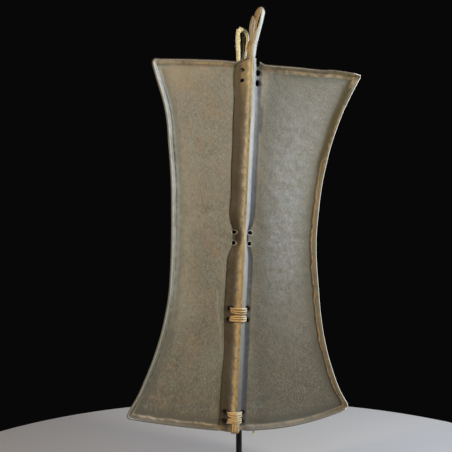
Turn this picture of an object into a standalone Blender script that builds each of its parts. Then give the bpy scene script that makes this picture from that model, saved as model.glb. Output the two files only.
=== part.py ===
"""Moulded hide shield with its wooden stave, thong lashings and hanging loop, on a rod stand.

Metres, +Z up, the shield's face towards -Y. The origin is the middle of the stand base's underside.
The shield is modelled upright in its own frame (s to the right, y back, t up from the ridge's foot)
and leans a little to the right through the empty that carries it.
"""

import math

import bmesh
import bpy
from mathutils import Vector

for leftover in list(bpy.data.objects):
    bpy.data.objects.remove(leftover)

# Hide: overall form. Half-widths run from the ridge's middle to the rim's lip.
HIDE_HEIGHT = 0.763
HIDE_THICKNESS = 0.0042
LEAN = math.radians(2.85)
LEFT = -1
RIGHT = 1
WAIST_HALF_WIDTH = {LEFT: 0.1475, RIGHT: 0.1635}
WAIST_HEIGHT = {LEFT: 0.439 * HIDE_HEIGHT, RIGHT: 0.527 * HIDE_HEIGHT}
TOP_HALF_WIDTH = {LEFT: 0.205, RIGHT: 0.249}
FOOT_HALF_WIDTH = {LEFT: 0.222, RIGHT: 0.257}
FLARE_POWER = {LEFT: 2.35, RIGHT: 2.2}
TOP_CORNER_DROP = {LEFT: 0.020, RIGHT: 0.007}
TOP_EDGE_POWER = {LEFT: 2.6, RIGHT: 6.0}
FOOT_CORNER_RISE = {LEFT: 0.029, RIGHT: 0.043}
FOOT_EDGE_POWER = {LEFT: 1.35, RIGHT: 2.5}
RIDGE_END_PROUD = {"top": 0.006, "foot": 0.003}
RIDGE_END_SPREAD = 0.017
RIDGE_CUT_REACH = 0.029

# Rim: a hand-folded edge that turns forward and splays outward.
RIM_SPLAY = 0.0145
RIM_RISE = 0.0115
RIM_FOLD_SOFTNESS = 0.0026
FORM_BLEND = 0.002

# Lacing holes: two at each side of the ridge at four stations, given by their middle heights from the foot up.
LACING_HEIGHTS = tuple(share * HIDE_HEIGHT for share in (0.0400, 0.3172, 0.5242, 0.9626))
FOOT_STATION, GRIP_STATION, PINCH_STATION, TOP_STATION = LACING_HEIGHTS
LACING_HALF_SPACING = 0.0117
LACING_OFFSET = 0.0170
LACING_HOLE_RADIUS = 0.0037

# Stave: a round stick in the ridge's hollow, bowed back between the second and third stations.
# Above the hide it bends to the right. The loop's tie sits in a groove just below the hide's top.
STAVE_RADIUS = 0.0080
STAVE_FOOT = 0.014
STAVE_FIT = 0.0006
STAVE_RISE = 0.118
STAVE_BEND = 0.0158
GRIP_MIDDLE = 0.4207 * HIDE_HEIGHT
GRIP_HALF_LENGTH = 0.090
GRIP_BOW = 0.043
PINCH_BOW_HALF_LENGTH = 0.080
PINCH_BOW = 0.0165
TIE_GROOVE_DROP = 0.025
TIE_GROOVE_HEIGHT = HIDE_HEIGHT - TIE_GROOVE_DROP
TIE_GROOVE_DEPTH = 0.0026
TIE_GROOVE_LENGTH = 0.008

# Grid lines over the rim, as shares of its splay.
FOLD_LINES = (0.0, 0.38, 0.72, 1.0, 1.32, 1.8)

# Ridge: an arch over the stave, a straight flank, and a hollow fillet into the sheet.
# At the pinch, under the grip's upper end, it closes to a narrow fold.
RIDGE_RISE = 0.0214
FLANK_ANGLE = math.radians(50)
FLANK_FILLET = 0.020
PINCH_LENGTH = 0.052
PINCH_RISE = 0.0228
PINCH_ARCH = 0.0050
PINCH_FLANK_ANGLE = math.radians(80)
PINCH_FILLET = 0.0065
PINCH_SHIFT = 0.0020

# Thongs.
THONG_RADIUS = 0.0020
THONG_GAP = 0.0004
TAIL_RADIUS = 0.0016
TIE_RADIUS = 0.0011

# Hanging loop of stiff thong at the top's left.
LOOP_RISE = 0.071
LOOP_TOP = HIDE_HEIGHT + LOOP_RISE
LOOP_LEFT = -0.0290
LOOP_RIGHT = -0.0052
LOOP_RADIUS = 0.0042
LOOP_CORE_RADIUS = 0.0026

# Stand.
SHIELD_FOOT_X = -0.0353
SHIELD_FOOT_Z = 0.1104
ROD_Y = 0.066
ROD_RADIUS = 0.00635
BASE_LENGTH = 0.280
BASE_DEPTH = 0.190
BASE_THICKNESS = 0.012
BASE_EDGE = 0.0015
ARM_RADIUS = 0.004
CLIP_WIRE_RADIUS = 0.0025
CLIP_CLEARANCE = 0.0006
CLIP_ARC = math.radians(235)
LEDGE_THICKNESS = 0.004
LEDGE_HALF_WIDTH = 0.0065
LEDGE_BACK = 0.008
REST_GAP = 0.0003
SPIGOT_GAP = 0.0003

SHIELD_NODES = bpy.data.collections.new("hide_shield")
CUTTERS = bpy.data.collections.new("cutters")


def lerp(a, b, k):
    return a + (b - a) * k


def smooth_max(a, b, softness):
    """The larger of two heights, with the crease between them rounded by softness."""
    span = max(softness - abs(a - b), 0.0) / softness
    return max(a, b) + span * span * softness / 4


def top_edge(s):
    """Height of the hide's top edge at s across."""
    side = RIGHT if s > 0 else LEFT
    drop = TOP_CORNER_DROP[side] * (abs(s) / TOP_HALF_WIDTH[side]) ** TOP_EDGE_POWER[side]
    return HIDE_HEIGHT - drop + RIDGE_END_PROUD["top"] * math.exp(-((s / RIDGE_END_SPREAD) ** 2))


def foot_edge(s):
    """Height of the hide's bottom edge at s across."""
    side = RIGHT if s > 0 else LEFT
    rise = FOOT_CORNER_RISE[side] * (abs(s) / FOOT_HALF_WIDTH[side]) ** FOOT_EDGE_POWER[side]
    return RIDGE_END_PROUD["foot"] + rise - RIDGE_END_PROUD["foot"] * math.exp(-((s / RIDGE_END_SPREAD) ** 2))


def half_width(t, side):
    """Distance from the ridge's middle to the rim's lip at height t: a waist that flares both ways."""
    waist = WAIST_HEIGHT[side]
    if t > waist:
        reach = (t - waist) / (HIDE_HEIGHT - TOP_CORNER_DROP[side] - waist)
        corner = TOP_HALF_WIDTH[side]
    else:
        reach = (waist - t) / (waist - FOOT_CORNER_RISE[side])
        corner = FOOT_HALF_WIDTH[side]
    return lerp(WAIST_HALF_WIDTH[side], corner, reach ** FLARE_POWER[side])


STAVE_AXIS_Y = STAVE_RADIUS + STAVE_FIT + HIDE_THICKNESS / 2 - RIDGE_RISE


def bow(t):
    """How far the stave's axis stands back from its straight line at height t: behind the pinch, then the grip."""
    total = 0.0
    for middle, half_length, depth in (
        (GRIP_MIDDLE, GRIP_HALF_LENGTH, GRIP_BOW),
        (PINCH_STATION, PINCH_BOW_HALF_LENGTH, PINCH_BOW),
    ):
        along = (t - middle) / half_length
        if abs(along) < 1:
            total += depth * math.cos(along * math.pi / 2) ** 2
    return total


def stave_back(t):
    """The stave's rearmost place at height t, with the slant of its bow."""
    step = STAVE_RADIUS / 8
    slant = math.atan((bow(t + step) - bow(t - step)) / (2 * step))
    return STAVE_AXIS_Y + bow(t) + STAVE_RADIUS / math.cos(slant)


def pinch_share(t):
    """How far the ridge is pinched at height t, from 0 to 1."""
    return math.exp(-(((t - PINCH_STATION) / PINCH_LENGTH * 2) ** 2))


def ridge_section(t):
    """The ridge's section at height t: rise, arch radius, flank angle, fillet, and three places across."""
    pinch = pinch_share(t)
    rise = lerp(RIDGE_RISE, PINCH_RISE, pinch)
    angle = lerp(FLANK_ANGLE, PINCH_FLANK_ANGLE, pinch)
    fillet = lerp(FLANK_FILLET, PINCH_FILLET, pinch)
    arch = lerp(STAVE_RADIUS + STAVE_FIT + HIDE_THICKNESS / 2, PINCH_ARCH, pinch)
    flank = (arch * math.cos(angle) + rise - arch - fillet * (1 - math.cos(angle))) / math.sin(angle)
    arch_end = arch * math.sin(angle)
    flank_end = arch_end + flank * math.cos(angle)
    base = flank_end + fillet * math.sin(angle)
    return rise, arch, angle, fillet, arch_end, flank_end, base


def ridge_rise(s, t):
    """Height of the ridge's mid-surface in front of the sheet."""
    rise, arch, angle, fillet, arch_end, flank_end, base = ridge_section(t)
    across = abs(s - PINCH_SHIFT * pinch_share(t))
    if across >= base:
        return 0.0
    if across > flank_end:
        return fillet - math.sqrt(max(fillet**2 - (base - across) ** 2, 0.0))
    if across > arch_end:
        return fillet * (1 - math.cos(angle)) + (flank_end - across) * math.tan(angle)
    return math.sqrt(arch**2 - across**2) + rise - arch


def rim_rise(inside):
    """Forward rise of the folded rim at a distance inside its lip."""
    slope = RIM_RISE / RIM_SPLAY
    return slope * RIM_FOLD_SOFTNESS * math.log1p(math.exp((RIM_SPLAY - inside) / RIM_FOLD_SOFTNESS))


def hide_point(column, v):
    """A point of the hide's mid-surface. v runs from the bottom edge to the top edge."""
    side, place = column
    t = lerp(foot_edge(0), top_edge(0), v)
    for _ in range(8):
        s = place(t, side)
        t = lerp(foot_edge(s), top_edge(s), v)
    inside = min(half_width(t, side) - abs(s), t - foot_edge(s), top_edge(s) - t)
    rise = smooth_max(ridge_rise(s, t), rim_rise(inside), FORM_BLEND)
    return Vector((s, -rise, t))


def hide_columns():
    """Where the hide's lengthwise grid lines run, from the left lip to the right lip."""
    fold_lines = [RIM_SPLAY * share for share in FOLD_LINES]
    sheet_lines = 4

    def on_ridge(share, start, end):
        def place(t, side):
            section = (0.0,) + ridge_section(t)[4:]
            return PINCH_SHIFT * pinch_share(t) + side * lerp(section[start], section[end], share)
        return place

    def on_sheet(share):
        def place(t, side):
            base = PINCH_SHIFT * pinch_share(t) + side * ridge_section(t)[-1]
            return lerp(base, side * (half_width(t, side) - fold_lines[-1]), share)
        return place

    def on_rim(inside):
        return lambda t, side: side * (half_width(t, side) - inside)

    half = [on_ridge(0.42, 0, 1), on_ridge(0.78, 0, 1), on_ridge(1, 0, 1), on_ridge(1, 1, 2)]
    half += [on_ridge(0.33, 2, 3), on_ridge(0.66, 2, 3), on_ridge(1, 2, 3)]
    half += [on_sheet(k / sheet_lines) for k in range(1, sheet_lines)]
    half += [on_rim(inside) for inside in reversed(fold_lines)]
    left = [(LEFT, place) for place in reversed(half)]
    middle = [(RIGHT, on_ridge(0, 0, 1))]
    return left + middle + [(RIGHT, place) for place in half]


def hide_rows():
    """Shares of the height at which the hide's crosswise grid lines run, closer at the folds and the pinch."""
    fold_rows = [RIM_SPLAY * share / HIDE_HEIGHT for share in FOLD_LINES]
    pinch_middle = PINCH_STATION / HIDE_HEIGHT
    pinch_steps = (-1.15, -0.78, -0.52, -0.28, 0.0, 0.28, 0.52, 0.78, 1.15)
    pinch_rows = [pinch_middle + step * PINCH_LENGTH / HIDE_HEIGHT for step in pinch_steps]
    lower_count, upper_count = 8, 8
    lower = [lerp(fold_rows[-1], pinch_rows[0], k / lower_count) for k in range(1, lower_count)]
    upper = [lerp(pinch_rows[-1], 1 - fold_rows[-1], k / upper_count) for k in range(1, upper_count)]
    return fold_rows + lower + pinch_rows + upper + [1 - v for v in reversed(fold_rows)]


def material(name, color, roughness, metallic=0.0):
    """A plain Principled finish for one kind of piece."""
    made = bpy.data.materials.new(name)
    made.use_nodes = True
    shader = made.node_tree.nodes["Principled BSDF"]
    shader.inputs["Base Color"].default_value = (*color, 1)
    shader.inputs["Roughness"].default_value = roughness
    shader.inputs["Metallic"].default_value = metallic
    made.diffuse_color = (*color, 1)
    return made


RAWHIDE = material("rawhide", (0.13, 0.105, 0.075), 0.6)
WOOD = material("stave_wood", (0.25, 0.17, 0.09), 0.6)
THONG = material("rawhide_thong", (0.42, 0.32, 0.20), 0.65)
BLACK_STEEL = material("black_painted_steel", (0.02, 0.02, 0.02), 0.45, 0.6)


def as_object(name, mesh, finish, collection=SHIELD_NODES):
    made = bpy.data.objects.new(name, mesh)
    collection.objects.link(made)
    if finish:
        mesh.materials.append(finish)
    return made


def cutter(name, mesh):
    made = as_object(name, mesh, None, CUTTERS)
    made.hide_render = True
    made.display_type = "WIRE"
    return made


def boolean(target, other, operation):
    step = target.modifiers.new(operation.lower() + "_" + other.name, "BOOLEAN")
    step.operation = operation
    step.object = other
    return step


def tube_mesh(name, points, radii, sides=8, cyclic=False):
    """A round wire or stick along the points, as a closed mesh whose radius may change on the way."""
    curve = bpy.data.curves.new(name, "CURVE")
    curve.dimensions = "3D"
    curve.bevel_depth = 1.0
    curve.bevel_resolution = sides // 2 - 2
    curve.use_fill_caps = not cyclic
    spline = curve.splines.new("POLY")
    spline.points.add(len(points) - 1)
    spline.use_cyclic_u = cyclic
    for knot, place, radius in zip(spline.points, points, radii):
        knot.co = (*place, 1)
        knot.radius = radius
    holder = bpy.data.objects.new(name, curve)
    CUTTERS.objects.link(holder)
    graph = bpy.context.evaluated_depsgraph_get()
    mesh = bpy.data.meshes.new_from_object(holder.evaluated_get(graph))
    bpy.data.objects.remove(holder)
    bpy.data.curves.remove(curve)
    shape = bmesh.new()
    shape.from_mesh(mesh)
    bmesh.ops.remove_doubles(shape, verts=shape.verts, dist=1e-6)
    bmesh.ops.recalc_face_normals(shape, faces=shape.faces)
    shape.to_mesh(mesh)
    shape.free()
    mesh.shade_smooth()
    return mesh


def smooth_path(knots, steps):
    """Points read along a smooth curve through the knots (Catmull-Rom), steps to each stretch."""
    padded = [2 * knots[0] - knots[1], *knots, 2 * knots[-1] - knots[-2]]
    points = []
    for a, b, c, d in zip(padded, padded[1:], padded[2:], padded[3:]):
        for k in range(steps):
            u = k / steps
            points.append(
                0.5 * (2 * b + (c - a) * u + (2 * a - 5 * b + 4 * c - d) * u**2
                       + (3 * b - a - 3 * c + d) * u**3)
            )
    return points + [knots[-1]]


def joined_tubes(name, wires, finish, parent):
    """One body from several overlapping wires, each given as (points, radii, cyclic)."""
    first, *others = [
        tube_mesh(f"{name}_wire_{i}", points, radii, cyclic=cyclic)
        for i, (points, radii, cyclic) in enumerate(wires)
    ]
    body = as_object(name, first, finish)
    body.parent = parent
    for mesh in others:
        part = cutter(mesh.name, mesh)
        part.parent = parent
        boolean(body, part, "UNION")
    return body


def make_hide(parent):
    columns = hide_columns()
    rows = hide_rows()
    shape = bmesh.new()
    bmesh.ops.create_grid(shape, x_segments=len(columns) - 1, y_segments=len(rows) - 1, size=1)
    for corner in shape.verts:
        column = columns[round((corner.co.x + 1) / 2 * (len(columns) - 1))]
        v = rows[round((corner.co.y + 1) / 2 * (len(rows) - 1))]
        corner.co = hide_point(column, v)
    bmesh.ops.recalc_face_normals(shape, faces=shape.faces)
    mesh = bpy.data.meshes.new("hide")
    shape.to_mesh(mesh)
    shape.free()
    hide = as_object("hide", mesh, RAWHIDE)
    hide.parent = parent
    wall = hide.modifiers.new("wall", "SOLIDIFY")
    wall.thickness = HIDE_THICKNESS
    wall.offset = 0
    wall.use_even_offset = True
    boolean(hide, lacing_drills(parent), "DIFFERENCE")
    for name, cut in ridge_end_cuts():
        knife = cutter(name, cut)
        knife.parent = parent
        boolean(hide, knife, "DIFFERENCE")
    return hide


def lacing_drills(parent):
    """All the lacing holes' drills as one cutter, each straight through the ridge's flank."""
    reach = LACING_OFFSET * 4.7
    shape = bmesh.new()
    for height in LACING_HEIGHTS:
        for end in (-1, 1):
            for side in (LEFT, RIGHT):
                drill = bmesh.ops.create_cone(
                    shape, cap_ends=True, segments=10, depth=reach,
                    radius1=LACING_HOLE_RADIUS, radius2=LACING_HOLE_RADIUS,
                )
                for corner in drill["verts"]:
                    x, y, z = corner.co
                    corner.co = (x + side * LACING_OFFSET, z, height + end * LACING_HALF_SPACING - y)
    mesh = bpy.data.meshes.new("lacing_drills")
    shape.to_mesh(mesh)
    shape.free()
    drills = cutter("lacing_drills", mesh)
    drills.parent = parent
    return drills


def ridge_end_cuts():
    """Two knife cuts beside the ridge's top end: a thin slit at the left and an open notch at the right."""
    # Shares of the cuts' reach: mouth and end across, depth down, and half the gap at mouth and end.
    cuts = (
        ("left_slit", LEFT, 0.33, 1.00, 0.45, 0.038, 0.028),
        ("right_notch", RIGHT, 0.335, 0.71, 0.33, 0.155, 0.034),
    )
    top = HIDE_HEIGHT + RIDGE_END_PROUD["top"] * 1.7
    for name, side, mouth, end, depth, mouth_half, end_half in cuts:
        shape = bmesh.new()
        bmesh.ops.create_cube(shape, size=1)
        for corner in shape.verts:
            at_top = corner.co.z > 0
            middle = mouth if at_top else end
            spread = mouth_half if at_top else end_half
            corner.co = (
                RIDGE_CUT_REACH * (side * middle + math.copysign(spread, corner.co.x)),
                RIDGE_CUT_REACH * 4 * corner.co.y,
                top if at_top else HIDE_HEIGHT - RIDGE_CUT_REACH * depth,
            )
        mesh = bpy.data.meshes.new(name)
        shape.to_mesh(mesh)
        shape.free()
        yield name, mesh


def make_stave(parent):
    """The stave's shaft with its tie groove, a splinter standing off at the left, and a split in the tip."""
    bow_start = GRIP_MIDDLE - GRIP_HALF_LENGTH
    bow_end = PINCH_STATION + PINCH_BOW_HALF_LENGTH
    shoulder = TIE_GROOVE_LENGTH / 4
    bow_steps = 17
    heights = [STAVE_FOOT] + [lerp(bow_start, bow_end, k / bow_steps) for k in range(bow_steps + 1)]
    points = [Vector((0, STAVE_AXIS_Y + bow(t), t)) for t in heights]
    radii = [STAVE_RADIUS] * len(points)
    groove_half = TIE_GROOVE_LENGTH / 2
    for reach, depth in ((-groove_half - shoulder, 0), (-groove_half, 1), (groove_half, 1), (groove_half + shoulder, 0)):
        points.append(Vector((0, STAVE_AXIS_Y, TIE_GROOVE_HEIGHT + reach)))
        radii.append(STAVE_RADIUS - depth * TIE_GROOVE_DEPTH)
    # The free end, in shares of its bend, of its rise above the hide and of the shaft's radius.
    # It stays straight and slim until it is clear of the hide, and ends in a rounded, swollen tip.
    tip = ((0.0, 0.093, 1.0), (0.0, 0.153, 1.12), (0.057, 0.288, 1.21), (0.342, 0.441, 1.06),
           (0.570, 0.589, 1.04), (0.709, 0.737, 1.24), (0.797, 0.814, 1.28), (0.949, 0.898, 1.24),
           (0.994, 0.945, 1.02), (1.0, 0.981, 0.62), (1.0, 0.998, 0.25))
    for across, up, share in tip:
        points.append(Vector((STAVE_BEND * across, STAVE_AXIS_Y, HIDE_HEIGHT + STAVE_RISE * up)))
        radii.append(STAVE_RADIUS * share)
    stave = as_object("stave", tube_mesh("stave", points, radii, sides=12), WOOD)
    stave.parent = parent
    splinter = cutter("splinter", splinter_mesh())
    splinter.parent = parent
    boolean(stave, splinter, "UNION")
    split = cutter("tip_split", split_mesh())
    split.parent = parent
    boolean(stave, split, "DIFFERENCE")
    return stave


def splinter_mesh():
    """The short leaf-shaped prong of split wood before the tip, at its left, in the same shares as the tip."""
    knots = ((0.0, 0.347, 0.80), (-0.114, 0.492, 0.74), (-0.089, 0.602, 0.88), (-0.025, 0.716, 0.84),
             (-0.127, 0.771, 0.45), (-0.177, 0.808, 0.12))
    flatness = 0.6
    face_y = STAVE_AXIS_Y - STAVE_RADIUS * 0.56
    points = [Vector((STAVE_BEND * across, face_y, HIDE_HEIGHT + STAVE_RISE * up)) for across, up, _ in knots]
    mesh = tube_mesh("splinter", points, [STAVE_RADIUS * share for _, _, share in knots])
    for corner in mesh.vertices:
        corner.co.y = lerp(face_y, corner.co.y, flatness)
    return mesh


def split_mesh():
    """The narrow drying split down the tip's face, leaning with it."""
    width, depth = STAVE_RADIUS * 0.25, STAVE_RADIUS * 2.5
    length = STAVE_RISE * 0.288
    middle = Vector((STAVE_BEND * 0.61, STAVE_AXIS_Y - STAVE_RADIUS, HIDE_HEIGHT + STAVE_RISE * 0.72))
    lean = math.radians(11)
    shape = bmesh.new()
    bmesh.ops.create_cube(shape, size=1)
    for corner in shape.verts:
        x, y, z = corner.co.x * width, corner.co.y * depth, corner.co.z * length
        corner.co = middle + Vector((x * math.cos(lean) + z * math.sin(lean), y, z * math.cos(lean)))
    mesh = bpy.data.meshes.new("tip_split")
    shape.to_mesh(mesh)
    shape.free()
    return mesh


def over_ridge(t, radius):
    """Points of a thong lying on the ridge's face at height t, from beside its left hole to its right one."""
    lift = HIDE_THICKNESS / 2 + THONG_GAP + radius
    reach = LACING_OFFSET - lift * math.sin(ridge_section(t)[2])
    step = radius / 10
    turns = 8
    points = []
    for k in range(turns + 1):
        s = reach * math.sin(lerp(-math.pi / 2, math.pi / 2, k / turns))
        slope = (ridge_rise(s + step, t) - ridge_rise(s - step, t)) / (2 * step)
        length = math.hypot(slope, 1)
        points.append(Vector((s - lift * slope / length, -ridge_rise(s, t) - lift / length, t)))
    return points


def lacing_ring(t, radius):
    """A closed turn of thong: over the ridge, through a pair of holes and round the stave's back."""
    front = over_ridge(t, radius)
    behind_stave = max(stave_back(t - radius), stave_back(t + radius)) + 2 * THONG_GAP + radius
    back_y = max(behind_stave, HIDE_THICKNESS / 2 + THONG_GAP + radius * 1.5)
    hole_back = HIDE_THICKNESS / 2 + radius
    side = LACING_OFFSET
    back = [
        Vector((side, hole_back - HIDE_THICKNESS, t)), Vector((side * 0.965, hole_back, t)),
        Vector((side * 0.68, lerp(hole_back, back_y, 0.8) + radius / 2, t)),
        Vector((side * 0.25, back_y + radius / 5, t)),
    ]
    mirrored = [Vector((-p.x, p.y, p.z)) for p in reversed(back)]
    return front + back + mirrored


def make_lashing(name, middle, parent, extra=()):
    """Two rings of thong through a station's upper and lower holes, with the turns between them on the ridge."""
    low, high = middle - LACING_HALF_SPACING, middle + LACING_HALF_SPACING
    wires = []
    for t in (low, high):
        ring = lacing_ring(t, THONG_RADIUS)
        wires.append((ring, [THONG_RADIUS] * len(ring), True))
    # Each turn starts near one hole, ends near another, and crosses the crest at its own share of the height.
    turns = ((low, low, 0.24, 1.08), (low, high, 0.50, 1.16), (high, high, 0.76, 1.12))
    for start, end, share, thickness in turns:
        radius = THONG_RADIUS * thickness
        strand = over_ridge(middle, radius)[1:-1]
        for k, point in enumerate(strand):
            u = k / (len(strand) - 1)
            point.z = lerp(lerp(start, end, u), lerp(low, high, share), math.sin(math.pi * u) ** 0.6)
        wires.append((strand, [radius] * len(strand), False))
    return joined_tubes(name, wires + list(extra), THONG, parent)


def foot_tail():
    """The loose thong end: from the lashing's back, behind the hide, to just below its bottom edge."""
    t = FOOT_STATION - LACING_HALF_SPACING
    behind = HIDE_THICKNESS / 2 + THONG_GAP + TAIL_RADIUS
    # Shares of the holes' offset across, of the tail's radius back, and of the holes' half spacing down.
    route = ((0.40, 1.25, 0.0), (1.65, 1.9, 0.09), (2.41, 1.9, 0.68), (2.89, 0.6, 1.58), (2.97, -0.3, 2.26),
             (3.01, -0.6, 3.08))
    points = smooth_path([
        Vector((LACING_OFFSET * across, behind + TAIL_RADIUS * back, t - LACING_HALF_SPACING * down))
        for across, back, down in route
    ], 3)
    # The end frays out: it swells just below the hide's edge and thins to its tip.
    swell_height, swell_length = t - LACING_HALF_SPACING * 2.2, TAIL_RADIUS * 2.5
    radii = [TAIL_RADIUS * (1 + 0.7 * math.exp(-(((p.z - swell_height) / swell_length) ** 2))) for p in points]
    radii[-1] = TAIL_RADIUS * 0.5
    return points, radii, False


def make_hanging_loop(parent):
    """A turn of thong in the stave's groove and a doubled loop standing up from it behind the hide."""
    groove = STAVE_RADIUS - TIE_GROOVE_DEPTH + THONG_GAP + TIE_RADIUS
    turns = 14
    tie = [
        Vector((groove * math.sin(a), STAVE_AXIS_Y - groove * math.cos(a), TIE_GROOVE_HEIGHT))
        for a in (math.tau * k / turns for k in range(turns))
    ]
    knot_y = STAVE_AXIS_Y + groove
    back = HIDE_THICKNESS / 2 + THONG_GAP + LOOP_RADIUS
    # Places across are shares of the loop's left or right side, and places back are shares of its rest on the hide.
    knots = [
        Vector((-groove * 0.80, knot_y - groove * 0.22, TIE_GROOVE_HEIGHT)),
        Vector((LOOP_LEFT * 0.45, back * 0.85, TIE_GROOVE_HEIGHT + TIE_GROOVE_DROP * 0.16)),
        Vector((LOOP_LEFT * 0.72, back * 1.15, TIE_GROOVE_HEIGHT + TIE_GROOVE_DROP * 0.64)),
        Vector((LOOP_LEFT * 0.81, back, HIDE_HEIGHT + LOOP_RISE * 0.14)),
        Vector((LOOP_LEFT * 0.845, back * 0.6, LOOP_TOP - LOOP_RISE * 0.62)),
        Vector((LOOP_LEFT, back * 0.3, LOOP_TOP - LOOP_RISE * 0.21)),
        Vector((LOOP_LEFT * 0.90, back * 0.15, LOOP_TOP - LOOP_RISE * 0.056)),
        Vector((lerp(LOOP_LEFT, LOOP_RIGHT, 0.38), back * 0.15, LOOP_TOP)),
        Vector((lerp(LOOP_LEFT, LOOP_RIGHT, 0.80), back * 0.3, LOOP_TOP - LOOP_RISE * 0.10)),
        Vector((LOOP_RIGHT, back * 0.52, LOOP_TOP - LOOP_RISE * 0.28)),
        Vector((LOOP_RIGHT * 1.35, back * 0.67, LOOP_TOP - LOOP_RISE * 0.63)),
        Vector((LOOP_RIGHT * 1.58, back * 0.9, HIDE_HEIGHT + LOOP_RISE * 0.11)),
        Vector((LOOP_RIGHT * 0.62, back, TIE_GROOVE_HEIGHT + TIE_GROOVE_DROP * 0.64)),
        Vector((groove * 0.22, knot_y, TIE_GROOVE_HEIGHT + TIE_GROOVE_DROP * 0.04)),
    ]
    outer = smooth_path(knots, 2)
    last = len(outer) - 1
    taper = [0.56 + 0.44 * math.sin(math.pi * min(k / last * 1.25, 1)) ** 0.7 for k in range(len(outer))]
    outer_radii = [LOOP_RADIUS * share for share in taper]
    outer_radii[0] = outer_radii[-1] = TIE_RADIUS * 0.9
    core = smooth_path([
        Vector((lerp(LOOP_LEFT, LOOP_RIGHT, 0.46), back * 0.22, LOOP_TOP)),
        Vector((lerp(LOOP_LEFT, LOOP_RIGHT, 0.54), back * 0.45, LOOP_TOP - LOOP_RISE * 0.28)),
        Vector((lerp(LOOP_LEFT, LOOP_RIGHT, 0.60), back * 0.75, HIDE_HEIGHT + LOOP_RISE * 0.056)),
        Vector((lerp(LOOP_LEFT, LOOP_RIGHT, 0.71), back * 1.15, TIE_GROOVE_HEIGHT + TIE_GROOVE_DROP * 0.48)),
        Vector((LOOP_LEFT * 0.43, back * 0.93, TIE_GROOVE_HEIGHT + TIE_GROOVE_DROP * 0.18)),
    ], 2)
    wires = [
        (tie, [TIE_RADIUS] * len(tie), True),
        (outer, outer_radii, False),
        (core, [LOOP_CORE_RADIUS] * len(core), False),
    ]
    return joined_tubes("hanging_loop", wires, THONG, parent)


def on_shield(s, y, t):
    """World place of a point given in the shield's own frame."""
    return Vector((
        SHIELD_FOOT_X + s * math.cos(LEAN) + t * math.sin(LEAN), y,
        SHIELD_FOOT_Z - s * math.sin(LEAN) + t * math.cos(LEAN),
    ))


def make_rod():
    """The rod with an upper clip round the grip and a lower ledge under the stave's foot."""
    rod_foot = BASE_THICKNESS / 6
    clip_radius = STAVE_RADIUS + CLIP_CLEARANCE + CLIP_WIRE_RADIUS
    grip_y = STAVE_AXIS_Y + GRIP_BOW
    grip = on_shield(0, grip_y, GRIP_MIDDLE)
    rod_top = grip.z + ROD_RADIUS * 3
    rod_line = [Vector((0, ROD_Y, rod_foot)), Vector((0, ROD_Y, rod_top))]
    clip_back = on_shield(0, grip_y + clip_radius, GRIP_MIDDLE)
    upper_arm = [Vector((0, ROD_Y, grip.z)), Vector((clip_back.x, clip_back.y, grip.z))]
    clip_steps = 12
    clip = [
        on_shield(clip_radius * math.sin(a), grip_y + clip_radius * math.cos(a), GRIP_MIDDLE)
        for a in (CLIP_ARC * (k / clip_steps - 0.5) for k in range(clip_steps + 1))
    ]
    ledge_top = on_shield(0, STAVE_AXIS_Y, STAVE_FOOT - REST_GAP)
    ledge_z = ledge_top.z - LEDGE_THICKNESS / 2 - ARM_RADIUS * 0.2
    lower_arm = [
        Vector((0, ROD_Y, ledge_z - ARM_RADIUS * 3)),
        Vector((ledge_top.x * 0.3, ROD_Y - ARM_RADIUS * 4, ledge_z - ARM_RADIUS * 2.5)),
        Vector((ledge_top.x, LEDGE_BACK + ARM_RADIUS, ledge_z)),
        Vector((ledge_top.x, LEDGE_BACK - ARM_RADIUS, ledge_z)),
    ]
    wires = [
        (rod_line, [ROD_RADIUS] * 2, False), (upper_arm, [ARM_RADIUS] * 2, False),
        (clip, [CLIP_WIRE_RADIUS] * len(clip), False), (lower_arm, [ARM_RADIUS] * 4, False),
    ]
    rod = joined_tubes("stand_rod", wires, BLACK_STEEL, None)
    boolean(rod, ledge_cutter(ledge_top), "UNION")
    return rod


def ledge_cutter(top):
    """The small flat ledge, level across and square to the stave's foot."""
    front = STAVE_AXIS_Y - STAVE_RADIUS * 0.4
    back = LEDGE_BACK
    shape = bmesh.new()
    bmesh.ops.create_cube(shape, size=1)
    for corner in shape.verts:
        across = corner.co.x * 2 * LEDGE_HALF_WIDTH
        along = lerp(front, back, corner.co.y + 0.5)
        down = (corner.co.z - 0.5) * LEDGE_THICKNESS
        corner.co = top + Vector((
            across * math.cos(LEAN) + down * math.sin(LEAN), along - top.y,
            down * math.cos(LEAN) - across * math.sin(LEAN),
        ))
    mesh = bpy.data.meshes.new("ledge")
    shape.to_mesh(mesh)
    shape.free()
    return cutter("ledge", mesh)


def make_base():
    """The flat foot plate with softened edges and a hole for the rod."""
    shape = bmesh.new()
    bmesh.ops.create_cube(shape, size=1)
    for corner in shape.verts:
        corner.co.x *= BASE_LENGTH
        corner.co.y *= BASE_DEPTH
        corner.co.z = (corner.co.z + 0.5) * BASE_THICKNESS
    mesh = bpy.data.meshes.new("stand_base")
    shape.to_mesh(mesh)
    shape.free()
    base = as_object("stand_base", mesh, BLACK_STEEL)
    edge = base.modifiers.new("softened_edges", "BEVEL")
    edge.width = BASE_EDGE
    edge.segments = 2
    drill_mesh = bpy.data.meshes.new("rod_hole")
    drill = bmesh.new()
    bmesh.ops.create_cone(
        drill, cap_ends=True, segments=16, depth=BASE_THICKNESS * 4,
        radius1=ROD_RADIUS + SPIGOT_GAP, radius2=ROD_RADIUS + SPIGOT_GAP,
    )
    bmesh.ops.translate(drill, verts=drill.verts, vec=(0, ROD_Y, 0))
    drill.to_mesh(drill_mesh)
    drill.free()
    boolean(base, cutter("rod_hole", drill_mesh), "DIFFERENCE")
    return base


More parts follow.
